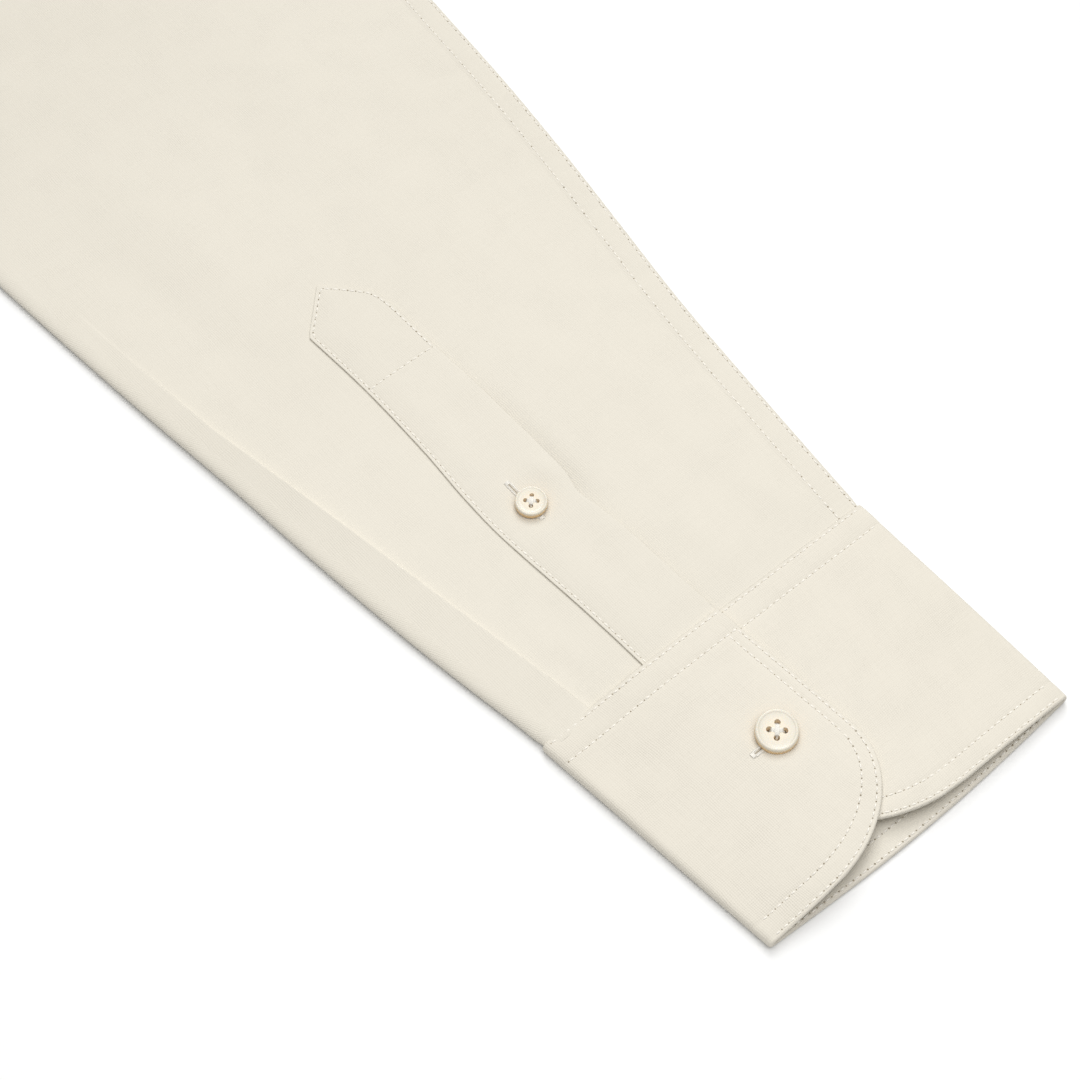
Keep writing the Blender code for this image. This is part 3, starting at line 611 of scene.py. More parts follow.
def plain_thread(name, colour, roughness):
    """Spun thread: pale, matt, with a slight change of tone from one stitch to the next."""
    material, shader, add, link = start_material(name, roughness)
    shader.inputs["Specular IOR Level"].default_value = 0.3
    where = add("TexCoord").outputs["Object"]
    grain = add("TexNoise", [("Scale", 900.0), ("Detail", 3.0), ("Vector", where)]).outputs["Fac"]
    shaded = [c * 0.86 for c in colour]
    link(blend(add, grain, 0.0, shaded, 1.0, colour), shader.inputs["Base Color"])
    twist = add("Bump", [("Strength", 0.4), ("Distance", 0.00006), ("Height", grain)])
    link(twist.outputs[0], shader.inputs["Normal"])
    return material


ecru_cotton = cotton("ecru_cotton", (0.765, 0.733, 0.661), (0.665, 0.634, 0.562), 0.6, 0.85, 0.88)
topstitch_thread = plain_thread("topstitch_thread", (0.93, 0.90, 0.84), 0.55)
# needle_hole_shade is painted shade: the dark colour of the needle holes and of the buttonhole slits
needle_hole_shade = plain_thread("needle_hole_shade", (0.43, 0.37, 0.28), 0.95)
topstitch = (topstitch_thread, needle_hole_shade)

SLEEVE_ROWS_UP = (
    # up to here, spacing of the rings
    (2.0, 1.0),
    (200.0, 1.75),
    (300.0, 2.7),
    (SLEEVE_LENGTH - 14.0, 4.6),
    (SLEEVE_LENGTH, 2.0),
)
SLEEVE_TUCK = 1.4                 # the sleeve runs this far into the cuff
sleeve_heights = [-SLEEVE_TUCK]
for limit, spacing in SLEEVE_ROWS_UP:
    start = sleeve_heights[-1]
    count = round((limit - start) / spacing)
    sleeve_heights += [mix(start, limit, i / count) for i in range(1, count + 1)]
FELL_STITCHES = 186               # places along a row of the sleeve's seam, and their spacing
FELL_SPACING = 3.0
for side, name in ((-1, "left"), (1, "right")):
    place = on_sleeve(side)
    outer, inner = map(list, zip(*(sleeve_ring(max(0.0, up)) for up in sleeve_heights)))
    for points in (outer, inner):
        points[0] = [(x, SLEEVE_TUCK, z) for x, y, z in points[0]]
    sleeve = build_cloth("fine_sleeve_" + name, outer, inner, place, ecru_cotton)
    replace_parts(sleeve, "sleeve_" + name)
    stitches = ([], [], [])
    for from_seam in FELL_ROWS:
        row = []
        for i in range(FELL_STITCHES):
            up = 2.0 + FELL_SPACING * i
            fold, seam = sleeve_spot(0.0, up)[0], sleeve_spot(1.0, up)[0]
            x, y = sleeve_spot(1.0 - from_seam / (seam - fold), up)
            row.append(place(x, y, sleeve_skin(seam - from_seam, y, fold, seam, SLEEVE_LENGTH - up)))
        sew_row(stitches, row)
    thread = finish_stitching("sleeve_stitching_" + name, stitches, topstitch)


# Sleeve plackets
# A strip with a pointed top covers the slit. It is two layers, sewn down along one edge and
# boxed at the top; below the box its other edge is free and closes over a small button.

PLACKET_WALL = 0.85
PLACKET_AIR = 0.26                # under the sewn edge
PLACKET_SEWN_WALL = 0.36
PLACKET_PRESSED = 8.0             # the sewn edge is pressed thin this far in
PLACKET_TIP = (-9.0, -155.9)
PLACKET_SEWN = (
    # up the sleeve, across at the sewn edge
    (0.0, -21.9),
    (26.0, -22.8),
    (56.0, -24.4),
    (72.0, -24.0),
    (91.0, -22.5),
    (118.0, -21.6),
    (142.6, -22.2),
)
PLACKET_FREE = (
    # up the sleeve, across at the free edge
    (0.0, 3.7),
    (15.0, 2.9),
    (32.0, 2.4),
    (46.0, 1.3),
    (53.0, 0.4),
    (60.0, 2.0),
    (72.0, 2.6),
    (85.0, 2.7),
    (118.0, 2.8),
    (136.0, 2.8),
    (142.6, 2.2),
)
PLACKET_SHOULDER = -142.6
PLACKET_EDGE_ROW = 1.1
PLACKET_BOX_ROW = -117.0
PLACKET_BUTTON = (-11.9, -58.3)
PLACKET_SPACING = 1.6
PLACKET_WIDTH = 25.0
PLACKET_LENGTH = 156.3            # with the part tucked into the cuff
PLACKET_TUCK = 1.0
PLACKET_BELLY = 0.2
PLACKET_GAPE = 0.75               # the free edge stands off this much between the box and the cuff
GAPE_FADES = (14.0, 12.0)         # over this length at the box, and at the cuff
PLACKET_PULL = (0.8, 60.0)        # the button's pull on the cloth: depth, square of its reach
PLACKET_BULGE = (0.7, 10.5, -6.5, 3.4, 5.0)   # height, place from the button, half sizes
PLACKET_EDGE_DIP = 0.16
PLACKET_BOX_DIP = 0.14


def rim(distance, half=0.5):
    """Share of the full thickness near a folded edge."""
    return max(0.07, math.sqrt(max(0.0, 1.0 - (1.0 - min(1.0, distance / half)) ** 2)))


def rim_steps(length, spacing, rows=(), both=True):
    """Distances across a piece, close together at its folded edges and beside its stitches."""
    edge = (0.0, 0.06, 0.2, 0.45, 0.9)
    close = [(edge[-1], length - (edge[-1] if both else 0.0))]
    count = max(1, round((close[0][1] - close[0][0]) / spacing))
    steps = list(edge) + [mix(*close[0], i / count) for i in range(1, count + 1)]
    if both:
        steps += [length - d for d in edge[:-1]]
    for row in rows:
        steps = [d for d in steps if abs(d - row) > 0.95]
        steps += [row + k for k in (-0.8, -0.4, 0.0, 0.4, 0.8)]
    return sorted(steps)


def placket_edges(y):
    """The two edges, drawing together above the shoulder of the point."""
    sewn, free = (read_table(table, -y)[0] for table in (PLACKET_SEWN, PLACKET_FREE))
    if y < PLACKET_SHOULDER:
        part = (PLACKET_SHOULDER - y) / (PLACKET_SHOULDER - PLACKET_TIP[1])
        sewn = mix(sewn, PLACKET_TIP[0], part)
        free = mix(free, PLACKET_TIP[0], part ** 1.12)
    return sewn, free


def placket_skin(x, y):
    """Height of the placket's upper face."""
    sewn, free = placket_edges(max(y, PLACKET_TIP[1]))
    part = (x - sewn) / max(1.0, free - sewn)
    below_box = smooth((y - PLACKET_BOX_ROW) / GAPE_FADES[0]) * smooth(-y / GAPE_FADES[1])
    dx, dy = x - PLACKET_BUTTON[0], y - PLACKET_BUTTON[1]
    depth, reach = PLACKET_PULL
    bulge, bulge_x, bulge_y, half_x, half_y = PLACKET_BULGE
    pressed = smooth(min(x - sewn, y - PLACKET_TIP[1]) / PLACKET_PRESSED)
    level = sleeve_top(x, y) + slit_dip(x, y) + PLACKET_AIR + mix(PLACKET_SEWN_WALL, PLACKET_WALL, pressed)
    level += PLACKET_BELLY * math.sin(math.pi * min(1.0, max(0.0, part))) * (0.4 + 0.6 * below_box)
    level += PLACKET_GAPE * below_box * smooth(part * 2.0 - 1.0) * (0.75 + 0.25 * math.sin(y / 9.0))
    level -= depth * below_box * math.exp(-(dx * dx + dy * dy) / reach)
    level += bulge * math.exp(-((dx - bulge_x) / half_x) ** 2 - ((dy - bulge_y) / half_y) ** 2)
    level -= PLACKET_EDGE_DIP * groove(x - sewn - PLACKET_EDGE_ROW)
    return level - PLACKET_BOX_DIP * groove(y - PLACKET_BOX_ROW)


for side, name in ((-1, "left"), (1, "right")):
    place = on_sleeve(side)
    across = rim_steps(PLACKET_WIDTH, PLACKET_SPACING, rows=(PLACKET_EDGE_ROW,))
    upward = rim_steps(PLACKET_LENGTH, PLACKET_SPACING, rows=(PLACKET_BOX_ROW - PLACKET_TIP[1],))
    outer, inner, grain = [], [], []
    for d in upward:
        y = PLACKET_TIP[1] + d
        if y > 0.0:
            y = PLACKET_TUCK * y / (PLACKET_LENGTH + PLACKET_TIP[1])
        sewn, free = placket_edges(y)
        outer_row, inner_row, grain_row = [], [], []
        for a in across:
            x = mix(sewn, free, a / PLACKET_WIDTH)
            pressed = smooth(min(x - sewn, d) / PLACKET_PRESSED)
            wall = mix(PLACKET_SEWN_WALL, PLACKET_WALL, pressed)
            thick = wall * min(rim(a, wall / 2), rim(PLACKET_WIDTH - a), rim(d, wall / 2))
            top = placket_skin(x, y) - (wall - thick) / 2
            outer_row.append((x, y, top))
            inner_row.append((x, y, top - thick))
            grain_row.append((x, y))
        outer.append(outer_row)
        inner.append(inner_row)
        grain.append(grain_row)
    placket = build_cloth("fine_placket_" + name, outer, inner, place, ecru_cotton, grain=grain)
    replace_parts(placket, "sleeve_placket_" + name)
    stitches = ([], [], [])
    corner_y = PLACKET_SHOULDER + 0.3
    around = [(placket_edges(y)[0] + PLACKET_EDGE_ROW, y) for y in range(-2, -141, -4)]
    around.append((placket_edges(corner_y)[0] + PLACKET_EDGE_ROW, corner_y))
    around.append((PLACKET_TIP[0], PLACKET_TIP[1] + 1.7))
    around.append((placket_edges(-150.0)[1] - 1.6, -150.0))
    around.append((placket_edges(-144.0)[1] - 1.2, -144.0))
    around += [(placket_edges(y)[1] - PLACKET_EDGE_ROW, y) for y in (*range(-140, -118, 4), PLACKET_BOX_ROW)]
    box_end = (placket_edges(PLACKET_BOX_ROW)[0] + PLACKET_EDGE_ROW, PLACKET_BOX_ROW)
    sew_row(stitches, height_row(place, even_spots(around), placket_skin))
    sew_row(stitches, height_row(place, even_spots([around[-1], box_end]), placket_skin))
    thread = finish_stitching("placket_stitching_" + name, stitches, topstitch)


# Cuffs
# A barrel cuff of two layers of cotton round a firm interlining, sewn on over the sleeve's end
# with two rows. Its ends are rounded, and the overlap lies buttoned on the underlap.

CUFF_WALL = 1.5
CUFF_HEIGHT = 76.0
UPPER_WRIST = 75.2                # along the cuff at its wrist edge, in the upper layers
LOWER_WRIST_BOW = 2.1             # the lower layer shows this far beyond them
CUFF_START = -1.9                 # the cuff's edge lies this far over the sleeve
CUFF_FOLD = (-56.9, -50.4)        # outer fold at the seam, and at the wrist
CUFF_UNDERARM = (56.7, 55.0)
CUFF_TURN = 1.9                   # how far in from a fold the cloth starts to turn
OVERLAP_END = (
    # along the cuff, across at the end of the overlap
    (-2.0, 3.7),
    (10.0, 4.3),
    (30.0, 5.4),
    (46.0, 6.1),
    (80.0, 6.1),
)
UNDERLAP_END = -22.0
OVERLAP_EASE = 29.0               # the overlap climbs over the underlap this gently
CORNER_ACROSS = 38.0
CORNER_ALONG = 29.0
CUFF_SEAM_ROWS = (-0.7, 6.1)
CUFF_EDGE_ROWS = (1.1, 5.9)       # from the wrist edge
CUFF_END_ROWS = (1.1, 4.1)        # from the end of the overlap
CUFF_GAP = (0.5, 0.9, 2.8)        # air inside: at the fold, at the seam, at the wrist
CUFF_SEAM_DIP = 0.2
CUFF_EDGE_DIP = 0.17
LAP_AIR = 0.3                     # between the overlap and the underlap
CUFF_PULL = (0.4, 70.0)           # the button's pull on the cloth: depth, square of its reach
CUFF_BUTTON = (-11.0, 35.6)
CUFF_SPACING = 1.7
CUFF_ROUND_STEPS = 8              # across the turn at each fold
LEAST_TURN = 0.12


def overlap_end(y):
    return read_table(OVERLAP_END, y)[0]


def wrist_edge(x, end, direction):
    """Along the cuff at its wrist edge, with the rounded corner of a lapped end."""
    reach = min(1.0, ((x - end) * direction + CORNER_ACROSS) / CORNER_ACROSS)
    return UPPER_WRIST - CORNER_ALONG * (1.0 - math.sqrt(1.0 - max(0.0, reach) ** 2))


def cuff_air(x, y):
    """Clear height between the lower layer and the layer over it."""
    down = min(1.0, max(0.0, y / CUFF_HEIGHT))
    fold, seam = mix(*CUFF_FOLD, down), mix(*CUFF_UNDERARM, down)
    part = min(1.0, max(0.0, (x - fold) / (seam - fold)))
    return mix(CUFF_GAP[0], mix(CUFF_GAP[1], CUFF_GAP[2], down ** 1.5), math.sin(math.pi * part) ** 0.9)


def cuff_swell(x, y):
    """Slow unevenness of the cuff between its rows of stitches."""
    wave = 0.12 * math.sin(x / 9.5 + y / 21.0) + 0.1 * math.sin(x / 5.3 - y / 12.0 + 1.0)
    between = 0.12 * smooth((y - 0.6) / 1.5) * smooth((5.0 - y) / 1.5)
    return wave * smooth((y - 7.0) / 10.0) + between


def upper_layer(x, y):
    """Height of the layer next above the lower one, drawn down by the seam's stitches."""
    return CUFF_WALL * 2 + cuff_air(x, y) + cuff_swell(x, y) - stitch_dips(y, CUFF_SEAM_ROWS, CUFF_SEAM_DIP)


def underlap_skin(x, y):
    """Height of the upper face of the underlap and the cuff beside it."""
    edge = wrist_edge(x, UNDERLAP_END, -1)
    return upper_layer(x, y) - stitch_dips(edge - y, CUFF_EDGE_ROWS, CUFF_EDGE_DIP)


def overlap_skin(x, y):
    """Height of the upper face where the overlap lies on the underlap."""
    level = upper_layer(x, y)
    level += (CUFF_WALL + LAP_AIR) * smooth((x - UNDERLAP_END + OVERLAP_EASE) / OVERLAP_EASE)
    end = overlap_end(y)
    edge = wrist_edge(x, end, 1)
    level -= stitch_dips(edge - y, CUFF_EDGE_ROWS, CUFF_EDGE_DIP) * smooth((end - x - 3.0) / 4.0)
    if y < CUFF_HEIGHT - CORNER_ALONG:
        level -= stitch_dips(end - x, CUFF_END_ROWS, CUFF_EDGE_DIP) * smooth((y - 6.0) / 2.0)
    dx, dy = x - CUFF_BUTTON[0], y - CUFF_BUTTON[1]
    return level - CUFF_PULL[0] * math.exp(-(dx * dx + dy * dy) / CUFF_PULL[1])


def cuff_columns():
    """Where the cuff's points stand, from the overlap's end round to the underlap's end: the
    layer, the distance in from the end or the share of the way, and the way round."""
    ends = [0.0, 0.06, 0.2, 0.45, 0.75, 1.1, 1.5, 2.1, 2.9, 3.6, 4.1, 4.6, 5.6, 7.0, 8.7]
    ends += [10.5, 12.6, 15.0, 17.6, 20.4, 23.4, 26.6, 31.0]
    columns = [("overlap end", d) for d in ends]
    columns += [("overlap", i / 16) for i in range(1, 17)]
    turns = [i / CUFF_ROUND_STEPS for i in range(1, CUFF_ROUND_STEPS)]
    columns += [("fold", turn) for turn in turns]
    columns += [("lower", i / 64) for i in range(65)]
    columns += [("underarm", turn) for turn in turns]
    columns += [("underlap", i / 26) for i in range(26)]
    columns += [("underlap end", d) for d in reversed(ends)]
    return columns


def cuff_rows():
    """Distances from the sleeve edge, and then back from the wrist edge."""
    start = [("start", d) for d in rim_steps(30.0, CUFF_SPACING, rows=(1.2, 8.0), both=False)]
    middle = [("middle", i / 9) for i in range(1, 9)]
    back = [9.0, 7.6, 6.8, 6.3, 5.9, 5.5, 5.0, 4.0, 3.0, 2.1, 1.6, 1.1, 0.75, 0.45, 0.2, 0.06, 0.0]
    return start + middle + [("wrist", d) for d in back]


def cuff_y(row, edge):
    """A row's place along the cuff in the column whose wrist edge is given."""
    kind, d = row
    if kind == "start":
        return CUFF_START + d
    if kind == "wrist":
        return edge - d
    return mix(CUFF_START + 30.0, edge - 9.0, d)


def cuff_spot(kind, d, row):
    """One place of the cuff: x and y, the wrist edge there, the height of its outer face, the
    share of the wall at the end of a lap, and in a fold its side and how far it has turned."""
    edge = UPPER_WRIST + (LOWER_WRIST_BOW * math.sin(math.pi * d) if kind == "lower" else 0.0)
    y = cuff_y(row, edge)
    down = min(1.0, max(0.0, y / CUFF_HEIGHT))
    fold, seam = mix(*CUFF_FOLD, down), mix(*CUFF_UNDERARM, down)
    if kind == "overlap end":
        edge = wrist_edge(overlap_end(y) - d, overlap_end(y), 1)
        y = cuff_y(row, edge)
        x = overlap_end(y) - d
        return x, y, edge, overlap_skin(x, y), rim(d, CUFF_WALL / 2), None
    if kind == "underlap end":
        x = UNDERLAP_END + d
        edge = wrist_edge(x, UNDERLAP_END, -1)
        y = cuff_y(row, edge)
        return x, y, edge, underlap_skin(x, y), rim(d, CUFF_WALL / 2), None
    if kind == "overlap":
        x = mix(overlap_end(y) - CORNER_ACROSS, fold + CUFF_TURN, d)
        return x, y, edge, overlap_skin(x, y), 1.0, None
    if kind == "underlap":
        x = mix(seam - CUFF_TURN, UNDERLAP_END + CORNER_ACROSS, d)
        return x, y, edge, underlap_skin(x, y), 1.0, None
    if kind == "lower":
        return mix(fold + CUFF_TURN, seam - CUFF_TURN, d), y, edge, CUFF_WALL, 1.0, None
    if kind == "fold":
        x = fold + CUFF_TURN
        return x, y, edge, overlap_skin(x, y), 1.0, (-1, math.pi / 2 - math.pi * d)
    x = seam - CUFF_TURN
    return x, y, edge, underlap_skin(x, y), 1.0, (1, math.pi * d - math.pi / 2)


def cuff_points():
    """The cuff's outer and inner faces as two grids, and the cut's own coordinates."""
    outer, inner, grain = [], [], []
    for row in cuff_rows():
        outer_row, inner_row, grain_row = [], [], []
        u = 0.0
        for kind, d in cuff_columns():
            x, y, edge, top, share, turn = cuff_spot(kind, d, row)
            thick = CUFF_WALL * min(share, rim(y - CUFF_START, CUFF_WALL / 2), rim(edge - y, CUFF_WALL / 2))
            gap = (CUFF_WALL - thick) / 2
            pair = []
            for inset in (gap, gap + thick):
                if turn:
                    sign, angle = turn
                    z = top / 2 + max(LEAST_TURN, top / 2 - inset) * math.sin(angle)
                    pair.append((x + sign * (CUFF_TURN - inset) * math.cos(angle), y, z))
                else:
                    pair.append((x, y, inset if kind == "lower" else top - inset))
            if outer_row:
                u += math.hypot(pair[0][0] - outer_row[-1][0], pair[0][2] - outer_row[-1][2])
            outer_row.append(pair[0])
            inner_row.append(pair[1])
            grain_row.append((u, y))
        outer.append(outer_row)
        inner.append(inner_row)
        grain.append(grain_row)
    return outer, inner, grain


def inset_curve(end, direction, from_end, from_wrist, first_y, last_x):
    """A row that follows the cuff's end, its corner and its wrist edge, at its own distances."""
    side = end - direction * from_end
    base = UPPER_WRIST - from_wrist
    across, along = CORNER_ACROSS - from_end, CORNER_ALONG - from_wrist + 1.0
    spots = [(side, first_y), (side, base - along)]
    for i in range(1, 13):
        angle = math.pi / 2 * i / 12
        x = side - direction * across * (1 - math.cos(angle))
        spots.append((x, base - along * (1 - math.sin(angle))))
    spots.append((last_x, base))
    return spots


cuff_cotton = cotton("cuff_cotton", (0.765, 0.731, 0.656), (0.667, 0.634, 0.562), 0.6, 1.05, 0.86)

for side, name in ((-1, "left"), (1, "right")):
    place = on_sleeve(side)
    outer, inner, grain = cuff_points()
    cuff = build_cloth("fine_cuff_" + name, outer, inner, place, cuff_cotton, grain=grain)
    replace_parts(cuff, "cuff_" + name)
    stitches = ([], [], [])
    fold_x, seam_x = CUFF_FOLD[0] + 2.2, CUFF_UNDERARM[0] - 2.2
    for y in CUFF_SEAM_ROWS:
        end_x = overlap_end(y)
        sew_row(stitches, height_row(place, even_spots([(fold_x, y), (end_x - 0.6, y)]), overlap_skin))
        sew_row(stitches, height_row(place, even_spots([(end_x + 0.8, y), (seam_x, y)]), underlap_skin))
    for from_end, from_wrist in zip(CUFF_END_ROWS, CUFF_EDGE_ROWS):
        first_y, straight = CUFF_SEAM_ROWS[1], OVERLAP_END[-1][1]
        spots = even_spots(inset_curve(straight, 1, from_end, from_wrist, first_y, CUFF_FOLD[1] + 2.4))
        spots = [(x + (overlap_end(y) - straight) * smooth((x + 12.0) / 12.0), y) for x, y in spots]
        sew_row(stitches, height_row(place, spots, overlap_skin))
        spots = inset_curve(UNDERLAP_END, -1, from_end, from_wrist, first_y, CUFF_UNDERARM[1] - 2.4)
        seen = [spot for spot in even_spots(spots) if spot[1] > 60.0]
        sew_row(stitches, height_row(place, seen, underlap_skin))
        inside = []
        for i in range(61):
            x = mix(CUFF_FOLD[1] + 4.0, CUFF_UNDERARM[1] - 4.0, i / 60)
            share = (x - CUFF_FOLD[1]) / (CUFF_UNDERARM[1] - CUFF_FOLD[1])
            inside.append((x, UPPER_WRIST + LOWER_WRIST_BOW * math.sin(math.pi * share) - from_wrist))
        sew_row(stitches, height_row(place, inside, lambda x, y: CUFF_WALL))
    thread = finish_stitching("cuff_stitching_" + name, stitches, topstitch)


# Sleeve and cuff buttons
# Four-hole buttons turned from pale resin: a rounded rim round a hollow face, glossy, amber
# where the side is thick. Each is sewn on with white thread crossed over its face.

LARGE_BUTTON = (11.4, 2.6)        # diameter and thickness
SMALL_BUTTON = (9.0, 2.3)
BUTTON_SIDES = 56
BUTTON_PROFILE = (
    # share of the radius, share of the thickness
    (0.72, 0.0),
    (0.84, 0.02),
    (0.93, 0.12),
    (0.98, 0.30),
    (1.0, 0.52),
    (0.996, 0.72),
    (0.98, 0.86),
    (0.955, 0.95),
    (0.92, 0.99),
    (0.885, 1.0),
    (0.85, 0.99),
    (0.82, 0.955),
    (0.79, 0.93),
    (0.62, 0.92),
)
HOLE_OUT = 0.25                   # middle of a hole from the button's, across and along
HOLE_HALF = 0.125
HOLE_LIP = 1.15                   # a hole opens out by this much at each face
HOLE_STRAIGHT = (0.15, 0.7)       # a hole is straight between these shares of the thickness
HOLE_SIDES = 14
LIP_TINT = 0.25                   # how much of the holes' colour shows at their lips
SEWING_THREADS = (-0.42, -0.14, 0.14, 0.42)   # side by side from hole to hole
SEWING_THREAD_HALF = 0.22
SEWING_THREAD_SIDES = 7
SHANK_HALF = 0.42                 # the thread that fills each hole
SHARP = math.radians(50.0)


def resin(name, face, side, hole):
    """Polished resin, creamy on its face, amber down its side and tan inside its holes."""
    material, shader, add, link = start_material(name, 0.3)
    shader.inputs["IOR"].default_value = 1.5
    shader.inputs["Coat Weight"].default_value = 0.15
    shader.inputs["Coat Roughness"].default_value = 0.12
    shader.inputs["Subsurface Weight"].default_value = 0.08
    shader.inputs["Subsurface Radius"].default_value = (0.0016, 0.0011, 0.0006)
    axes = add("SeparateXYZ", [(0, add("UVMap", uv_map="cut").outputs["UV"])]).outputs
    level = blend(add, axes["Y"], 0.6, side, 0.93, face)
    where = add("TexCoord").outputs["Object"]
    cloud = add("TexNoise", [("Scale", 260.0), ("Detail", 3.0), ("Vector", where)]).outputs["Fac"]
    veins = add("Mix", data_type="RGBA", blend_type="MULTIPLY")
    veins.inputs["Factor"].default_value = 0.08
    link(level, veins.inputs["A"])
    link(cloud, veins.inputs["B"])
    inside = add("Mix", data_type="RGBA")
    inside.inputs["B"].default_value = (*hole, 1.0)
    link(axes["X"], inside.inputs["Factor"])
    link(veins.outputs["Result"], inside.inputs["A"])
    link(inside.outputs["Result"], shader.inputs["Base Color"])
    return material


button_resin = resin("button_resin", (0.75, 0.71, 0.615), (0.80, 0.55, 0.26), (1.0, 0.82, 0.60))
white_thread = plain_thread("white_thread", (0.88, 0.86, 0.81), 0.55)


def make_button(name, size, centre, place, tilt=(0.0, 0.0), face_down=False):
    """Turns the profile, cuts four round holes through it and sews it on with crossed thread."""
    radius, high = size[0] / 2, size[1]
    flip = -1.0 if face_down else 1.0
    cx, cy, base = centre

    def spot(x, y, z):
        rise = z + x * math.tan(tilt[0]) + y * math.tan(tilt[1])
        return Vector(place(cx + x, cy + y, base + flip * rise))

    turned = bmesh.new()
    marks = turned.verts.layers.float_vector.new("mark")

    def point(x, y, z, hole=0.0):
        vert = turned.verts.new(spot(x, y, z))
        vert[marks] = (hole, z / high, 0.0)
        return vert

    def circle(x, y, z, r, sides, hole=0.0):
        spots = [2 * math.pi * k / sides for k in range(sides)]
        return [point(x + r * math.cos(a), y + r * math.sin(a), z, hole) for a in spots]

    def join(low, top):
        for k in range(len(low)):
            n = (k + 1) % len(low)
            turned.faces.new((low[k], low[n], top[n], top[k]))

    rings = [circle(0, 0, high * h, radius * r, BUTTON_SIDES) for r, h in BUTTON_PROFILE]
    for low, top in zip(rings, rings[1:]):
        join(low, top)
    out = HOLE_OUT * radius
    centres = [(out, out), (-out, out), (-out, -out), (out, -out)]
    walls = []
    for ring, level in ((rings[0], 0.0), (rings[-1], high * BUTTON_PROFILE[-1][1])):
        edges = [turned.edges.get((ring[k], ring[(k + 1) % BUTTON_SIDES])) for k in range(BUTTON_SIDES)]
        lips = []
        for x, y in centres:
            lip = circle(x, y, level, HOLE_HALF * radius * HOLE_LIP, HOLE_SIDES, hole=LIP_TINT)
            edges += [turned.edges.new((lip[k], lip[(k + 1) % HOLE_SIDES])) for k in range(HOLE_SIDES)]
            lips.append(lip)
        bmesh.ops.triangle_fill(turned, edges=edges, use_beauty=True, use_dissolve=False)
        walls.append(lips)
    for (x, y), low, top in zip(centres, *walls):
        inner_low, inner_top = (
            circle(x, y, high * level, HOLE_HALF * radius, HOLE_SIDES, hole=1.0) for level in HOLE_STRAIGHT
        )
        join(low, inner_low)
        join(inner_low, inner_top)
        join(inner_top, top)
    bmesh.ops.recalc_face_normals(turned, faces=turned.faces)
    layer = turned.loops.layers.uv.new("cut")
    for face in turned.faces:
        for loop in face.loops:
            loop[layer].uv = loop.vert[marks][:2]
    mesh = bpy.data.meshes.new(name)
    turned.to_mesh(mesh)
    turned.free()
    mesh.materials.append(button_resin)
    mesh.shade_smooth()
    mesh.set_sharp_from_angle(angle=SHARP)
    button = riding(name, mesh)
    threads = ([], [], [])
    face = high * BUTTON_PROFILE[-1][1]
    up = Vector((0, 0, flip))
    for first, second, rise in ((0, 2, 0.30), (1, 3, 0.52)):
        (ax, ay), (bx, by) = centres[first], centres[second]
        away = Vector((bx - ax, by - ay)).orthogonal().normalized()
        for offset in SEWING_THREADS:
            shift = away * offset
            start, end = (spot(x + shift.x, y + shift.y, face - 0.1) for x, y in ((ax, ay), (bx, by)))
            lift = rise - abs(offset) * 0.3
            add_thread(threads, start, end, up, SEWING_THREAD_HALF, lift, sides=SEWING_THREAD_SIDES)
    for x, y in centres:
        top, foot = (spot(x * 0.8, y * 0.8, z) for z in (face, -0.6))
        add_thread(threads, top, foot, Vector((1, 0, 0)), SHANK_HALF, 0.0, sides=SEWING_THREAD_SIDES)
    finish_stitching(name + "_thread", threads, (white_thread,))
    return button


LIP = (0.16, 1.15)                # a lip's stitches start and end this far from the slit
LIP_PITCH = 0.42
LIP_THREAD_HALF = 0.24
BAR_HALF = 1.1
BAR_PITCH = 0.36
# radius of the spots of painted shade down the slit
SLIT_SHADE_SPOT = 0.17
whitework = (white_thread, needle_hole_shade)


def buttonhole(place, centre, direction, length, height, up=None):
    """A slit between two lips of close stitches, with a bar across each end; the slit is a row of small
    spots of painted shade.
    """
    threads = ([], [], [])
    cx, cy = centre
    dx, dy = direction
    way = up or Vector((0, 0, 1))

    def spot(at, out_x, out_y, lift=0.02):
        x, y = cx + dx * at - dy * out_x, cy + dy * at + dx * out_y
        return Vector(place(x, y, height(x, y) + lift))

    def spaced(pitch):
        count = round(length / pitch)
        return [-length / 2 + length * (i + 0.5) / count for i in range(count)]

    def uneven():
        return sewing.uniform(-SEWING_SLACK, SEWING_SLACK)

    for lip in (-1, 1):
        for at in spaced(LIP_PITCH):
            start, end = (spot(at, lip * (out + uneven()), lip * (out + uneven())) for out in LIP)
            add_thread(threads, start, end, way, LIP_THREAD_HALF, 0.2)
    for end in (-1, 1):
        for k in range(3):
            at = end * (length / 2 + 0.2 + BAR_PITCH * k)
            start, end_of_bar = spot(at, -BAR_HALF, -BAR_HALF), spot(at, BAR_HALF, BAR_HALF)
            add_thread(threads, start, end_of_bar, way, LIP_THREAD_HALF, 0.26)
    # the slit's dark line is painted shade, a row of small dark spots
    for at in spaced(BAR_PITCH):
        add_hole_shade(threads, spot(at, 0.0, 0.0, 0.04), way, SLIT_SHADE_SPOT)
    return threads


def under_button(height, centre, radius):
    """Highest place of the cloth below a button."""
    x, y = centre
    return max(height(x + dx * radius, y + dy * radius) for dx in (-1, 0, 1) for dy in (-1, 0, 1))


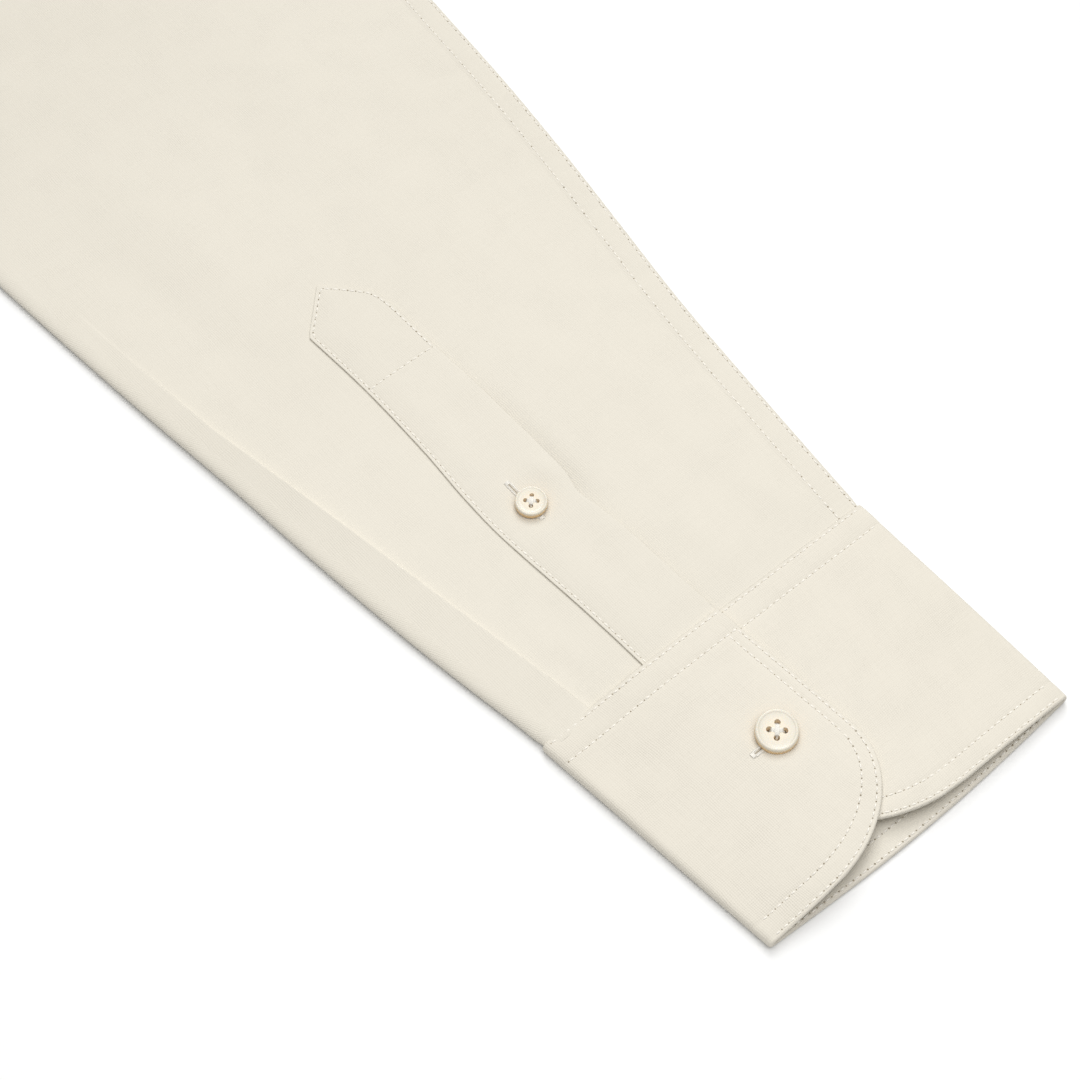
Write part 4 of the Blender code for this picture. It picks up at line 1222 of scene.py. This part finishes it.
for side, name in ((-1, "left"), (1, "right")):
    place = on_sleeve(side)
    centre = (*CUFF_BUTTON, under_button(overlap_skin, CUFF_BUTTON, 3.4) + 0.1)
    button = make_button("fine_cuff_button_" + name, LARGE_BUTTON, centre, place, (0.12, -0.14))
    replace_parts(button, "cuff_button_" + name)
    centre = (*PLACKET_BUTTON, under_button(placket_skin, PLACKET_BUTTON, 2.7) + 0.25)
    button = make_button("fine_placket_button_" + name, SMALL_BUTTON, centre, place, (0.08, -0.07))
    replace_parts(button, "placket_button_" + name)
    centre = (CUFF_BUTTON[0] - 1.9, CUFF_BUTTON[1] + 0.4)
    hole = buttonhole(place, centre, (1.0, 0.0), 12.0, overlap_skin)
    finish_stitching("cuff_buttonhole_" + name, hole, whitework)
    centre = (PLACKET_BUTTON[0] - 0.4, PLACKET_BUTTON[1] - 2.3)
    hole = buttonhole(place, centre, (0.0, 1.0), 13.2, placket_skin)
    finish_stitching("placket_buttonhole_" + name, hole, whitework)


# Fronts and band
# Two fronts lie face down under the back. The left one ends in a sewn-on band with seven
# buttonholes, and the right one runs on under the band and carries the buttons.

NECK_HALF = 76.0
FRONT_NECK_DROP = 84.0
UNDERARM_Y = -SHOULDER_DROP - ARMHOLE_DEPTH
SIDE_HEM = -695.0
HEM_DROP = 78.0
HEM_HALF = 266.0
BAND_HALF = 17.5
UNDERLAP_EDGE = -15.0
LAP_LIFT = 1.7
LAP_FLAT = 32.0
LAP_SLOPE = 14.0
RIDGE_FLAT = 20.0
RIDGE_SLOPE = 110.0
COLLAR_WALL = 1.4
NECK_RING_HALF_HEIGHT = 9.0
NECK_RING_HEIGHT = LARGE_BUTTON[1] + 0.3 + COLLAR_WALL / 2 + NECK_RING_HALF_HEIGHT
NECK_LIFT_REACH = 1.6
SHOULDER_EASE = 0.5
PANEL_WALL = 0.85


def ridge(x):
    """How far the row of front buttons holds the cloth off the surface."""
    return (LARGE_BUTTON[1] + 0.3) * smooth(1.0 - (abs(x) - RIDGE_FLAT) / RIDGE_SLOPE)


def neck_reach(x, y):
    return max(1.0, math.hypot(x / NECK_HALF, y / FRONT_NECK_DROP))


def neck_weight(reach):
    return 1.0 - smooth((reach - 1.0) / NECK_LIFT_REACH)


def front_level(x, y):
    """Underside of the fronts, raised over the buttons and up to the collar."""
    reach = neck_reach(x, y)
    forward = max(0.0, -y) / (FRONT_NECK_DROP * reach)
    at_neck = NECK_RING_HEIGHT - NECK_RING_HALF_HEIGHT * forward - COLLAR_WALL / 2
    at_neck -= SHOULDER_EASE * (1.0 - forward)
    return mix(ridge(x), at_neck, neck_weight(reach))


def armhole_x(y):
    """Half width of the body beside the armhole."""
    return -armhole(min(1.0, max(0.0, (-SHOULDER_DROP - y) / ARMHOLE_DEPTH)))[0]


def hem(x):
    """The shirt-tail hem, low at the middle and high at the side seams."""
    return SIDE_HEM - HEM_DROP * (0.5 + 0.5 * math.cos(math.pi * min(1.0, abs(x) / HEM_HALF)))


def shoulder_y(x):
    return -SHOULDER_DROP * (abs(x) - NECK_HALF) / (SHOULDER_HALF - NECK_HALF)


def front_outline(centre):
    """Neck and shoulder of one front from its centre edge to the shoulder point."""
    start = math.asin(centre / NECK_HALF)
    top = []
    for i in range(25):
        turn = mix(start, math.pi / 2, i / 24)
        top.append((NECK_HALF * math.sin(turn), -FRONT_NECK_DROP * math.cos(turn)))
    for i in range(1, 19):
        x = mix(NECK_HALF, SHOULDER_HALF, i / 18)
        top.append((x, shoulder_y(x)))
    return top


def front_grid(side, centre, extra):
    """Points of one front's underside, from the neck and shoulder down to the hem."""
    top = front_outline(centre)
    last = len(top) - 1
    rows = []
    down = [i / 30 for i in range(31)]
    for v in down:
        row = []
        for c, (x0, y0) in enumerate(top):
            y = mix(y0, UNDERARM_Y, v)
            x = armhole_x(y) if c == last else mix(x0, mix(centre, CHEST_HALF, c / last), v)
            row.append((x, y))
        rows.append(row)
    for v in [i / 44 for i in range(1, 45)]:
        row = []
        for c in range(last + 1):
            x_end = mix(centre, HEM_HALF, c / last)
            row.append((mix(mix(centre, CHEST_HALF, c / last), x_end, v), mix(UNDERARM_Y, hem(x_end), v)))
        rows.append(row)
    return [[(side * x, y, front_level(x, y) + extra(x)) for x, y in row] for row in rows]


def right_lap(x):
    """The right front steps up over the band."""
    return LAP_LIFT * smooth((LAP_FLAT + LAP_SLOPE - x) / LAP_SLOPE)


def face_down_panel(name, node, low, stitch_rows, height):
    """One panel that lies with its right side down, its topstitch on that side."""
    upper = [[(x, y, z + PANEL_WALL) for x, y, z in row] for row in low]
    panel = build_cloth(name, upper, low, on_table, ecru_cotton, grain=[[p[:2] for p in row] for row in low])
    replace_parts(panel, node)
    stitches = ([], [], [])
    for spots in stitch_rows:
        sew_row(stitches, height_row(on_table, even_spots(spots, 6.0), height, 0.3), Vector((0, 0, -1)))
    thread = finish_stitching(name + "_stitching", stitches, topstitch)


left_hem = [(-x, hem(x) + 6.0) for x in range(18, 266, 8)]
right_hem = [(x, hem(x) + 6.0) for x in range(-14, 266, 8)]
face_down_panel("fine_front_left", "front_left", front_grid(-1, BAND_HALF + 0.3, lambda x: 0.0),
                [left_hem], front_level)
face_down_panel("fine_front_right", "front_right", front_grid(1, UNDERLAP_EDGE, right_lap),
                [right_hem], lambda x, y: front_level(x, y) + right_lap(x))
band = []
for r in range(121):
    row = []
    for d in rim_steps(2 * BAND_HALF, 2.5, rows=(6.0, 29.0)):
        x = d - BAND_HALF
        top = -FRONT_NECK_DROP * math.sqrt(1.0 - (x / NECK_HALF) ** 2) - 0.3
        y = mix(top, hem(x), r / 120)
        row.append((x, y, front_level(x, y)))
    band.append(row)
band_rows = [[(x, -90.0), (x, hem(x) + 1.0)] for x in (-11.5, 11.5)]
face_down_panel("fine_front_band", "front_band", band, band_rows, front_level)


# Back and yoke
# The back hangs from a straight yoke seam down to a shirt-tail hem. The yoke is sewn over its
# top edge and over the shoulders, and both are felled to the sleeves round the armholes.

BACK_NECK_DROP = 18.0
YOKE_SEAM = -105.0
BACK_LAP_FLAT = 40.0
BACK_LAP_SLOPE = 90.0
BACK_SLACK = 1.4
BACK_CROWN = 2.9
CROWN_HALF = 110.0
CROWN_LENGTH = 182.0
YOKE_RISE = 1.1
YOKE_TUCK = 2.0                   # the back's top edge runs this far under the yoke
BACK_SPACING = 5.5
YOKE_ROWS = (1.5, 7.5)
YOKE_DIP = 0.16
HEM_ROWS = (1.2, 7.0)
HEM_DIP = 0.15
BODY_FELL_RISE = 0.3              # the felled edge lies this much over the cloth beside it
BODY_FELL_DIP = 0.18
BACK_LOFT = 0.25                  # the back stands this much fuller away from its seams
BACK_SINK = 0.55                  # its top edge sinks this much under the yoke
YOKE_OVER_BACK = 0.45

BACK_CREASES = (
    # x, y, turn in degrees, half length, half width, rise
    (-196.0, -250.0, 62.0, 90.0, 13.0, -1.5),
    (-168.0, -292.0, 52.0, 84.0, 12.0, 1.2),
    (-214.0, -352.0, 34.0, 76.0, 12.0, -1.1),
    (188.0, -262.0, -58.0, 96.0, 14.0, -1.4),
    (206.0, -318.0, -40.0, 82.0, 11.0, 1.2),
    (150.0, -364.0, -34.0, 74.0, 13.0, -1.0),
    (-62.0, -232.0, 6.0, 116.0, 12.0, 0.9),
    (-28.0, -268.0, -4.0, 128.0, 13.0, -1.0),
    (46.0, -246.0, 9.0, 104.0, 12.0, 0.9),
    (92.0, -300.0, 14.0, 110.0, 14.0, -1.1),
    (-118.0, -424.0, 18.0, 118.0, 15.0, 1.1),
    (-40.0, -486.0, -12.0, 104.0, 14.0, 1.0),
    (26.0, -540.0, 16.0, 98.0, 15.0, -1.2),
    (122.0, -474.0, -16.0, 124.0, 14.0, 1.1),
    (-172.0, -560.0, 24.0, 96.0, 15.0, -1.1),
    (186.0, -586.0, -22.0, 86.0, 14.0, -1.0),
    (-84.0, -634.0, 34.0, 80.0, 13.0, 1.0),
    (70.0, -652.0, -28.0, 76.0, 12.0, 0.9),
    (-148.0, -142.0, 70.0, 62.0, 9.0, -0.5),
    (132.0, -136.0, -66.0, 66.0, 9.0, 0.5),
)


def back_level(x, y):
    """Underside of the back and the yoke, clear of the fronts."""
    reach = neck_reach(x, y)
    weight = neck_weight(reach)
    lap = LAP_LIFT * smooth((BACK_LAP_FLAT + BACK_LAP_SLOPE - abs(x)) / BACK_LAP_SLOPE)
    lift = weight * (NECK_RING_HEIGHT - CLOTH / 2 - 0.2)
    crown = BACK_CROWN * max(0.0, 1.0 - (x / CROWN_HALF) ** 2) ** 2
    crown *= smooth(1.0 + (y + BACK_NECK_DROP) / CROWN_LENGTH)
    slack = BACK_SLACK * smooth(weight * 12.0) * smooth((1.0 - weight) * 5.0)
    return CLOTH + 0.45 + ridge(x) + lap + lift + crown + slack


def back_edge(x, y):
    """Distance in from the armhole or the side seam."""
    if y > UNDERARM_Y:
        return armhole_x(y) - abs(x)
    part = (UNDERARM_Y - y) / (UNDERARM_Y - SIDE_HEM)
    return mix(CHEST_HALF, HEM_HALF, min(1.0, part)) - abs(x)


def back_skin(x, y):
    """Height of the back's upper face."""
    from_edge, from_hem = back_edge(x, y), y - hem(x)
    level = back_level(x, y) + CLOTH
    soft = smooth(from_edge / 30.0) * smooth((YOKE_SEAM - y) / 24.0) * smooth(from_hem / 30.0 + 0.15)
    level += crease_rise(BACK_CREASES, x, y) * soft + BACK_LOFT * soft + BODY_FELL_RISE * on_fell(from_edge)
    level -= stitch_dips(from_edge, FELL_ROWS, BODY_FELL_DIP) + stitch_dips(from_hem, HEM_ROWS, HEM_DIP)
    return level - BACK_SINK * smooth((y - YOKE_SEAM + 3.0) / 4.0)


def back_spot(s, t):
    """A point of the back at a share of the half width and of the length."""
    down = -t
    if down > UNDERARM_Y:
        return s * armhole_x(down), down
    v = (UNDERARM_Y - down) / (UNDERARM_Y - SIDE_HEM)
    x_end = HEM_HALF * s
    return mix(CHEST_HALF * s, x_end, v), mix(UNDERARM_Y, hem(x_end), v)


def cloth_on(points, thick_at, skin):
    """Outer and inner faces of a panel that lies face up."""
    outer, inner = [], []
    for r, row in enumerate(points):
        outer_row, inner_row = [], []
        for c, (x, y) in enumerate(row):
            thick = PANEL_WALL * thick_at(r, c)
            top = skin(x, y) - (PANEL_WALL - thick) / 2
            outer_row.append((x, y, top))
            inner_row.append((x, y, top - thick))
        outer.append(outer_row)
        inner.append(inner_row)
    return outer, inner


half_steps = rim_steps(CHEST_HALF, BACK_SPACING, rows=FELL_ROWS, both=False)
shares = [-(1.0 - d / CHEST_HALF) for d in half_steps]
shares += [-s for s in reversed(shares[:-1])]
edge_steps = half_steps + list(reversed(half_steps[:-1]))
back_start = -YOKE_SEAM - YOKE_TUCK
down_steps = [back_start + d for d in rim_steps(-SIDE_HEM - back_start, BACK_SPACING)]
points = [[back_spot(s, t) for s in shares] for t in down_steps]
last_row = len(points) - 1


def back_thickness(r, c):
    from_top, from_hem = down_steps[r] - down_steps[0], down_steps[last_row] - down_steps[r]
    return min(rim(edge_steps[c]), rim(from_top), rim(from_hem))


outer, inner = cloth_on(points, back_thickness, back_skin)
back = build_cloth("fine_back", outer, inner, on_table, ecru_cotton, grain=points)
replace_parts(back, "back_panel")
stitches = ([], [], [])
for from_edge in FELL_ROWS:
    for sign in (-1, 1):
        spots = []
        for t in [109.0 + 4.0 * i for i in range(147)]:
            x, y = back_spot(1.0, t)
            spots.append((sign * (x - from_edge), y))
        sew_row(stitches, height_row(on_table, spots, back_skin))
for from_hem in HEM_ROWS:
    spots = [(x, hem(x) + from_hem) for x in range(-258, 259, 4)]
    sew_row(stitches, height_row(on_table, spots, back_skin))
thread = finish_stitching("back_stitching", stitches, topstitch)


def neck_ring(degrees):
    """The neck seam, 0 at the centre back and 180 at the centre front."""
    turn = math.radians(degrees)
    away = math.cos(turn)
    reach = -BACK_NECK_DROP if away > 0 else FRONT_NECK_DROP
    return NECK_HALF * math.sin(turn), reach * away, NECK_RING_HEIGHT + NECK_RING_HALF_HEIGHT * away


def yoke_top():
    """Neckline and shoulder of half the yoke: x, y and the height of its underside."""
    top = []
    for i in range(31):
        x, y, z = neck_ring(90.0 * i / 30)
        top.append((x, y - 0.3, z - CLOTH / 2 + YOKE_RISE * (i / 30) ** 4))
    for d in reversed(rim_steps(SHOULDER_HALF - NECK_HALF, 5.0, rows=FELL_ROWS, both=False)[:-1]):
        x = SHOULDER_HALF - d
        top.append((x, shoulder_y(x), front_level(x, shoulder_y(x)) + CLOTH + 0.6))
    return top


half_yoke = yoke_top()
whole_yoke = [(-x, y, z) for x, y, z in reversed(half_yoke[1:])] + half_yoke
YOKE_LENGTH = 92.0
yoke_steps = rim_steps(YOKE_LENGTH, 4.0, rows=(1.5, *(YOKE_LENGTH - row for row in YOKE_ROWS)))
seam_y = YOKE_SEAM - YOKE_TUCK
outer, inner, grain = [], [], []
for d in yoke_steps:
    v = d / YOKE_LENGTH
    outer_row, inner_row, grain_row = [], [], []
    for x0, y0, z0 in whole_yoke:
        y = mix(y0, seam_y, v)
        bottom_x = armhole_x(seam_y) - (SHOULDER_HALF - abs(x0))
        x = math.copysign(mix(abs(x0), max(abs(x0) * 0.9, bottom_x), v), x0)
        if abs(x0) > SHOULDER_HALF - 10.0:
            x = math.copysign(armhole_x(y) - (SHOULDER_HALF - abs(x0)), x0)
        from_edge = armhole_x(y) - abs(x)
        level = back_level(x, y) + (z0 - back_level(x0, y0)) * (1.0 - smooth(v * 3.0)) + CLOTH
        level += YOKE_OVER_BACK * smooth((v - 0.72) * 5.0)
        level += BODY_FELL_RISE * on_fell(from_edge) * smooth(v * 12.0)
        level += crease_rise(BACK_CREASES, x, y) * smooth(v * 4.0) * smooth((1.0 - v) * 4.0)
        level -= stitch_dips(YOKE_LENGTH - d, YOKE_ROWS, YOKE_DIP)
        thick = PANEL_WALL * min(rim(d), rim(YOKE_LENGTH - d), rim(SHOULDER_HALF - abs(x0)))
        top = level - (PANEL_WALL - thick) / 2
        outer_row.append((x, y, top))
        inner_row.append((x, y, top - thick))
        grain_row.append((y, x))
    outer.append(outer_row)
    inner.append(inner_row)
    grain.append(grain_row)
yoke = build_cloth("fine_yoke", outer, inner, on_table, ecru_cotton, grain=grain)
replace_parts(yoke, "yoke")


def nearest(values, wanted):
    """Place in a list of the value nearest to the wanted one."""
    return min(range(len(values)), key=lambda k: abs(values[k] - wanted))


stitches = ([], [], [])
for row in YOKE_ROWS:
    line = outer[nearest(yoke_steps, YOKE_LENGTH - row)]
    sew_row(stitches, [on_table(*spot) for spot in line[2:-2]])
for from_edge in FELL_ROWS:
    for sign in (-1, 1):
        column = nearest([sign * x for x, y, z in whole_yoke], SHOULDER_HALF - from_edge)
        sew_row(stitches, [on_table(*outer[r][column]) for r in range(3, len(outer) - 3)])
thread = finish_stitching("yoke_stitching", stitches, topstitch)


# Collar
# The stand is a strip round the neck, its ends lapped and buttoned at the front. The leaf is
# sewn to its top, folds down over it to two points, and is topstitched near its edge.

TOP_RING_HALF = 64.0
TOP_RING_BACK = 19.0
TOP_RING_FRONT = -54.0
TOP_RING_MIDDLE = 14.0
STAND_LAP = 13.0
STAND_LAP_LIFT = COLLAR_WALL + 0.3
STAND_LIFT_FROM = 154.0
STAND_CLEAR = 1.4
LEAF_OFFSET = COLLAR_WALL + 0.4
LEAF_RISE = 1.4
LEAF_SIDE_DROP = 0.9
LEAF_STITCH = 5.5
LEAF_EDGE = (
    # degrees from the centre back, across, y, height of the middle of the leaf
    (0.0, 0.0, -27.0, 24.2),
    (25.0, 34.0, -24.5, 23.2),
    (48.0, 58.0, -17.0, 20.6),
    (68.0, 73.0, -7.0, 17.6),
    (82.0, 81.0, 2.5, 15.0),
    (90.0, 82.5, 5.0, 12.2),
    (98.0, 82.0, 1.0, 9.0),
    (112.0, 79.0, -20.0, 6.6),
    (130.0, 72.0, -52.0, 3.8),
    (152.0, 62.0, -84.0, 1.7),
    (175.0, 50.0, -113.0, 0.7),
)


def straight_table(table, key):
    """The columns after the first, on straight lines between the rows."""
    i = max(k for k in range(len(table) - 1) if table[k][0] <= key)
    a, b = table[i], table[i + 1]
    part = (key - a[0]) / (b[0] - a[0])
    return [mix(a[c], b[c], part) for c in range(1, len(a))]


def top_ring(degrees, out=0.0):
    """The fold of the collar at the top of the stand, moved outward by a distance."""
    turn = math.radians(degrees)
    away = math.cos(turn)
    reach = TOP_RING_BACK - TOP_RING_MIDDLE if away > 0 else TOP_RING_MIDDLE - TOP_RING_FRONT
    nx, nz = math.sin(turn) / TOP_RING_HALF, away / NECK_RING_HALF_HEIGHT
    scale = out / math.hypot(nx, nz)
    x = TOP_RING_HALF * math.sin(turn) + nx * scale
    return x, TOP_RING_MIDDLE + reach * away, NECK_RING_HEIGHT + NECK_RING_HALF_HEIGHT * away + nz * scale


def stand_middle(v, degrees):
    low, high = neck_ring(degrees), top_ring(degrees)
    x, y, z = (mix(low[i], high[i], v) for i in range(3))
    clear = STAND_CLEAR * (1.0 - v)
    lift = STAND_LAP_LIFT * smooth((degrees - STAND_LIFT_FROM) / 10.0)
    return Vector((x * (1.0 - clear / NECK_HALF), y + clear * 0.6, z + lift))


def leaf_middle(v, degrees):
    fold = top_ring(degrees, LEAF_OFFSET)
    turn = abs(degrees)
    drop = LEAF_SIDE_DROP * smooth((turn - 86.0) / 8.0) * smooth((160.0 - turn) / 40.0)
    edge = straight_table(LEAF_EDGE, turn)
    edge[0] = math.copysign(edge[0], degrees)
    fold = (fold[0], fold[1] + LEAF_RISE, fold[2] - drop)
    return Vector([mix(fold[i], edge[i], v) for i in range(3)])


def way_out(middle, v, degrees):
    """The middle of the collar's wall at a place, and the direction out of its face."""
    dv = middle(min(1.0, v + 0.02), degrees) - middle(max(0.0, v - 0.02), degrees)
    dt = middle(v, degrees + 0.8) - middle(v, degrees - 0.8)
    return middle(v, degrees), dt.cross(dv).normalized()


def collar_wall(name, node, middle, end, up_steps, length, stitch_rows):
    """One wall of the collar from its middle surface, with folded edges and topstitch."""
    turns = [mix(-end, end, i / 180) for i in range(181)]
    arc = NECK_HALF * math.radians(1.0)
    outer, inner, grain = [], [], []
    for d in up_steps:
        outer_row, inner_row, grain_row = [], [], []
        for degrees in turns:
            at, out = way_out(middle, d / length, degrees)
            from_end = (end - abs(degrees)) * arc + 0.02
            thick = COLLAR_WALL * min(rim(from_edge, 0.7) for from_edge in (d, length - d, from_end))
            outer_row.append(at + out * thick / 2)
            inner_row.append(at - out * thick / 2)
            grain_row.append((degrees * arc, d))
        outer.append(outer_row)
        inner.append(inner_row)
        grain.append(grain_row)
    piece = build_cloth(name, outer, inner, on_table, cuff_cotton, grain=grain)
    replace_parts(piece, node)
    stitches = ([], [], [])
    for row in stitch_rows:
        for face in (-1, 1):
            spots, ups = [], []
            for v, degrees in row:
                at, out = way_out(middle, v, degrees)
                spots.append(on_table(*(at + out * face * COLLAR_WALL / 2)))
                ups.append(out * face)
            sew_row(stitches, spots, ups)
    thread = finish_stitching(name + "_stitching", stitches, topstitch)


stand_end = 180.0 + STAND_LAP
stand_row = [(0.12, -stand_end + 2.0 + 2.0 * i) for i in range(192)]
collar_wall("fine_collar_stand", "collar_stand", stand_middle, stand_end - 0.8, rim_steps(36.0, 4.0), 36.0,
            [stand_row])
leaf_end = LEAF_EDGE[-1][0] - 0.9
edge_row = []
for i in range(175):
    degrees = -leaf_end + 5.0 + (2 * leaf_end - 10.0) * i / 174
    long_way = (leaf_middle(1.0, degrees) - leaf_middle(0.0, degrees)).length
    edge_row.append((1.0 - LEAF_STITCH / long_way, degrees))
corner = edge_row[0][0]
left_end = [(mix(0.08, corner, i / 16), -leaf_end + 5.0) for i in range(17)]
right_end = [(v, -degrees) for v, degrees in left_end]
collar_wall("fine_collar_leaf", "collar_leaf", leaf_middle, leaf_end, rim_steps(50.0, 3.5), 50.0,
            [left_end, edge_row, right_end])


# Front buttons
# Seven buttons down the front and one on the collar stand, as on the cuffs. The shirt lies on
# them, so their faces look down.

FIRST_BUTTON = -139.0
BUTTON_PITCH = 88.0
FRONT_BUTTONS = 7
STAND_BUTTON = -69.0
buttons = [("front_button_%d" % (i + 1), FIRST_BUTTON - BUTTON_PITCH * i) for i in range(FRONT_BUTTONS)]
buttons.append(("stand_button", STAND_BUTTON))
for node, y in buttons:
    centre = (0.0, y, LARGE_BUTTON[1])
    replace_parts(make_button("fine_" + node, LARGE_BUTTON, centre, on_table, face_down=True), node)
    if node != "stand_button":
        hole = buttonhole(on_table, (0.0, y), (0.0, 1.0), 13.0, front_level, Vector((0, 0, -1)))
        finish_stitching(node.replace("button", "buttonhole"), hole, whitework)


# Surface, light and camera
# The shirt lies on a plain white table top under two broad soft lamps: one over the left cuff,
# one high beyond the underarm seam and up the sleeve. Pale light comes from all round.

TABLE_HALF = 4.0                  # in metres
TABLE_WHITE = (0.86, 0.87, 0.885, 1.0)
ROOM_LIGHT = (1.0, 0.965, 0.90, 1.0)
LAMP_LIGHT = (1.0, 0.995, 0.985)
corners = [(x * TABLE_HALF, y * TABLE_HALF, 0) for x, y in ((-1, -1), (1, -1), (1, 1), (-1, 1))]
surface_mesh = bpy.data.meshes.new("white_table")
surface_mesh.from_pydata(corners, [], [(0, 1, 2, 3)])
table_white = bpy.data.materials.new("table_white")
table_white.use_nodes = True
table_shader = table_white.node_tree.nodes["Principled BSDF"]
table_shader.inputs["Base Color"].default_value = TABLE_WHITE
table_shader.inputs["Roughness"].default_value = 0.9
table_shader.inputs["Specular IOR Level"].default_value = 0.1
surface_mesh.materials.append(table_white)
table = bpy.data.objects.new("white_table", surface_mesh)
bpy.context.collection.objects.link(table)

scene = bpy.context.scene
scene.view_settings.view_transform = "Standard"
sky = bpy.data.worlds.new("soft_room")
sky.use_nodes = True
sky.node_tree.nodes["Background"].inputs["Color"].default_value = ROOM_LIGHT
sky.node_tree.nodes["Background"].inputs["Strength"].default_value = 0.34
scene.world = sky

left = on_sleeve(-1)
LAMPS = (
    # name, across, along and up from the middle of the left cuff seam, size, power in watts
    ("near_lamp", -40.0, 100.0, 830.0, 0.8, 5.0),
    ("far_lamp", 1100.0, -1290.0, 1900.0, 1.5, 33.0),
)
looked_at = Vector(left(-10.0, 10.0, 0.0))
for name, x, y, z, size, power in LAMPS:
    lamp_data = bpy.data.lights.new(name, "AREA")
    lamp_data.shape = "SQUARE"
    lamp_data.size = size
    lamp_data.energy = power
    lamp_data.color = LAMP_LIGHT
    lamp = bpy.data.objects.new(name, lamp_data)
    lamp.location = Vector(left(x, y, z))
    lamp.rotation_mode = "QUATERNION"
    lamp.rotation_quaternion = (looked_at - lamp.location).to_track_quat("-Z", "Y")
    bpy.context.collection.objects.link(lamp)

EYE = (-244.4, 215.4, 540.66)     # across, along and up from the middle of the left cuff seam
LOOK = (0.65232, -0.75794)        # the level direction of view, across and along
PITCH = math.radians(57.0)
eye = Vector(left(*EYE))
ahead = (Vector(left(EYE[0] + LOOK[0], EYE[1] + LOOK[1], EYE[2])) - eye).normalized()
sight = ahead * math.cos(PITCH) + Vector((0, 0, -math.sin(PITCH)))
camera_data = bpy.data.cameras.new("camera")
camera_data.sensor_width = 36.0
camera_data.lens = 80.0
camera_data.clip_start = 0.01
camera = bpy.data.objects.new("camera", camera_data)
camera.location = eye
camera.rotation_mode = "QUATERNION"
camera.rotation_quaternion = sight.to_track_quat("-Z", "Y")
bpy.context.collection.objects.link(camera)
scene.camera = camera
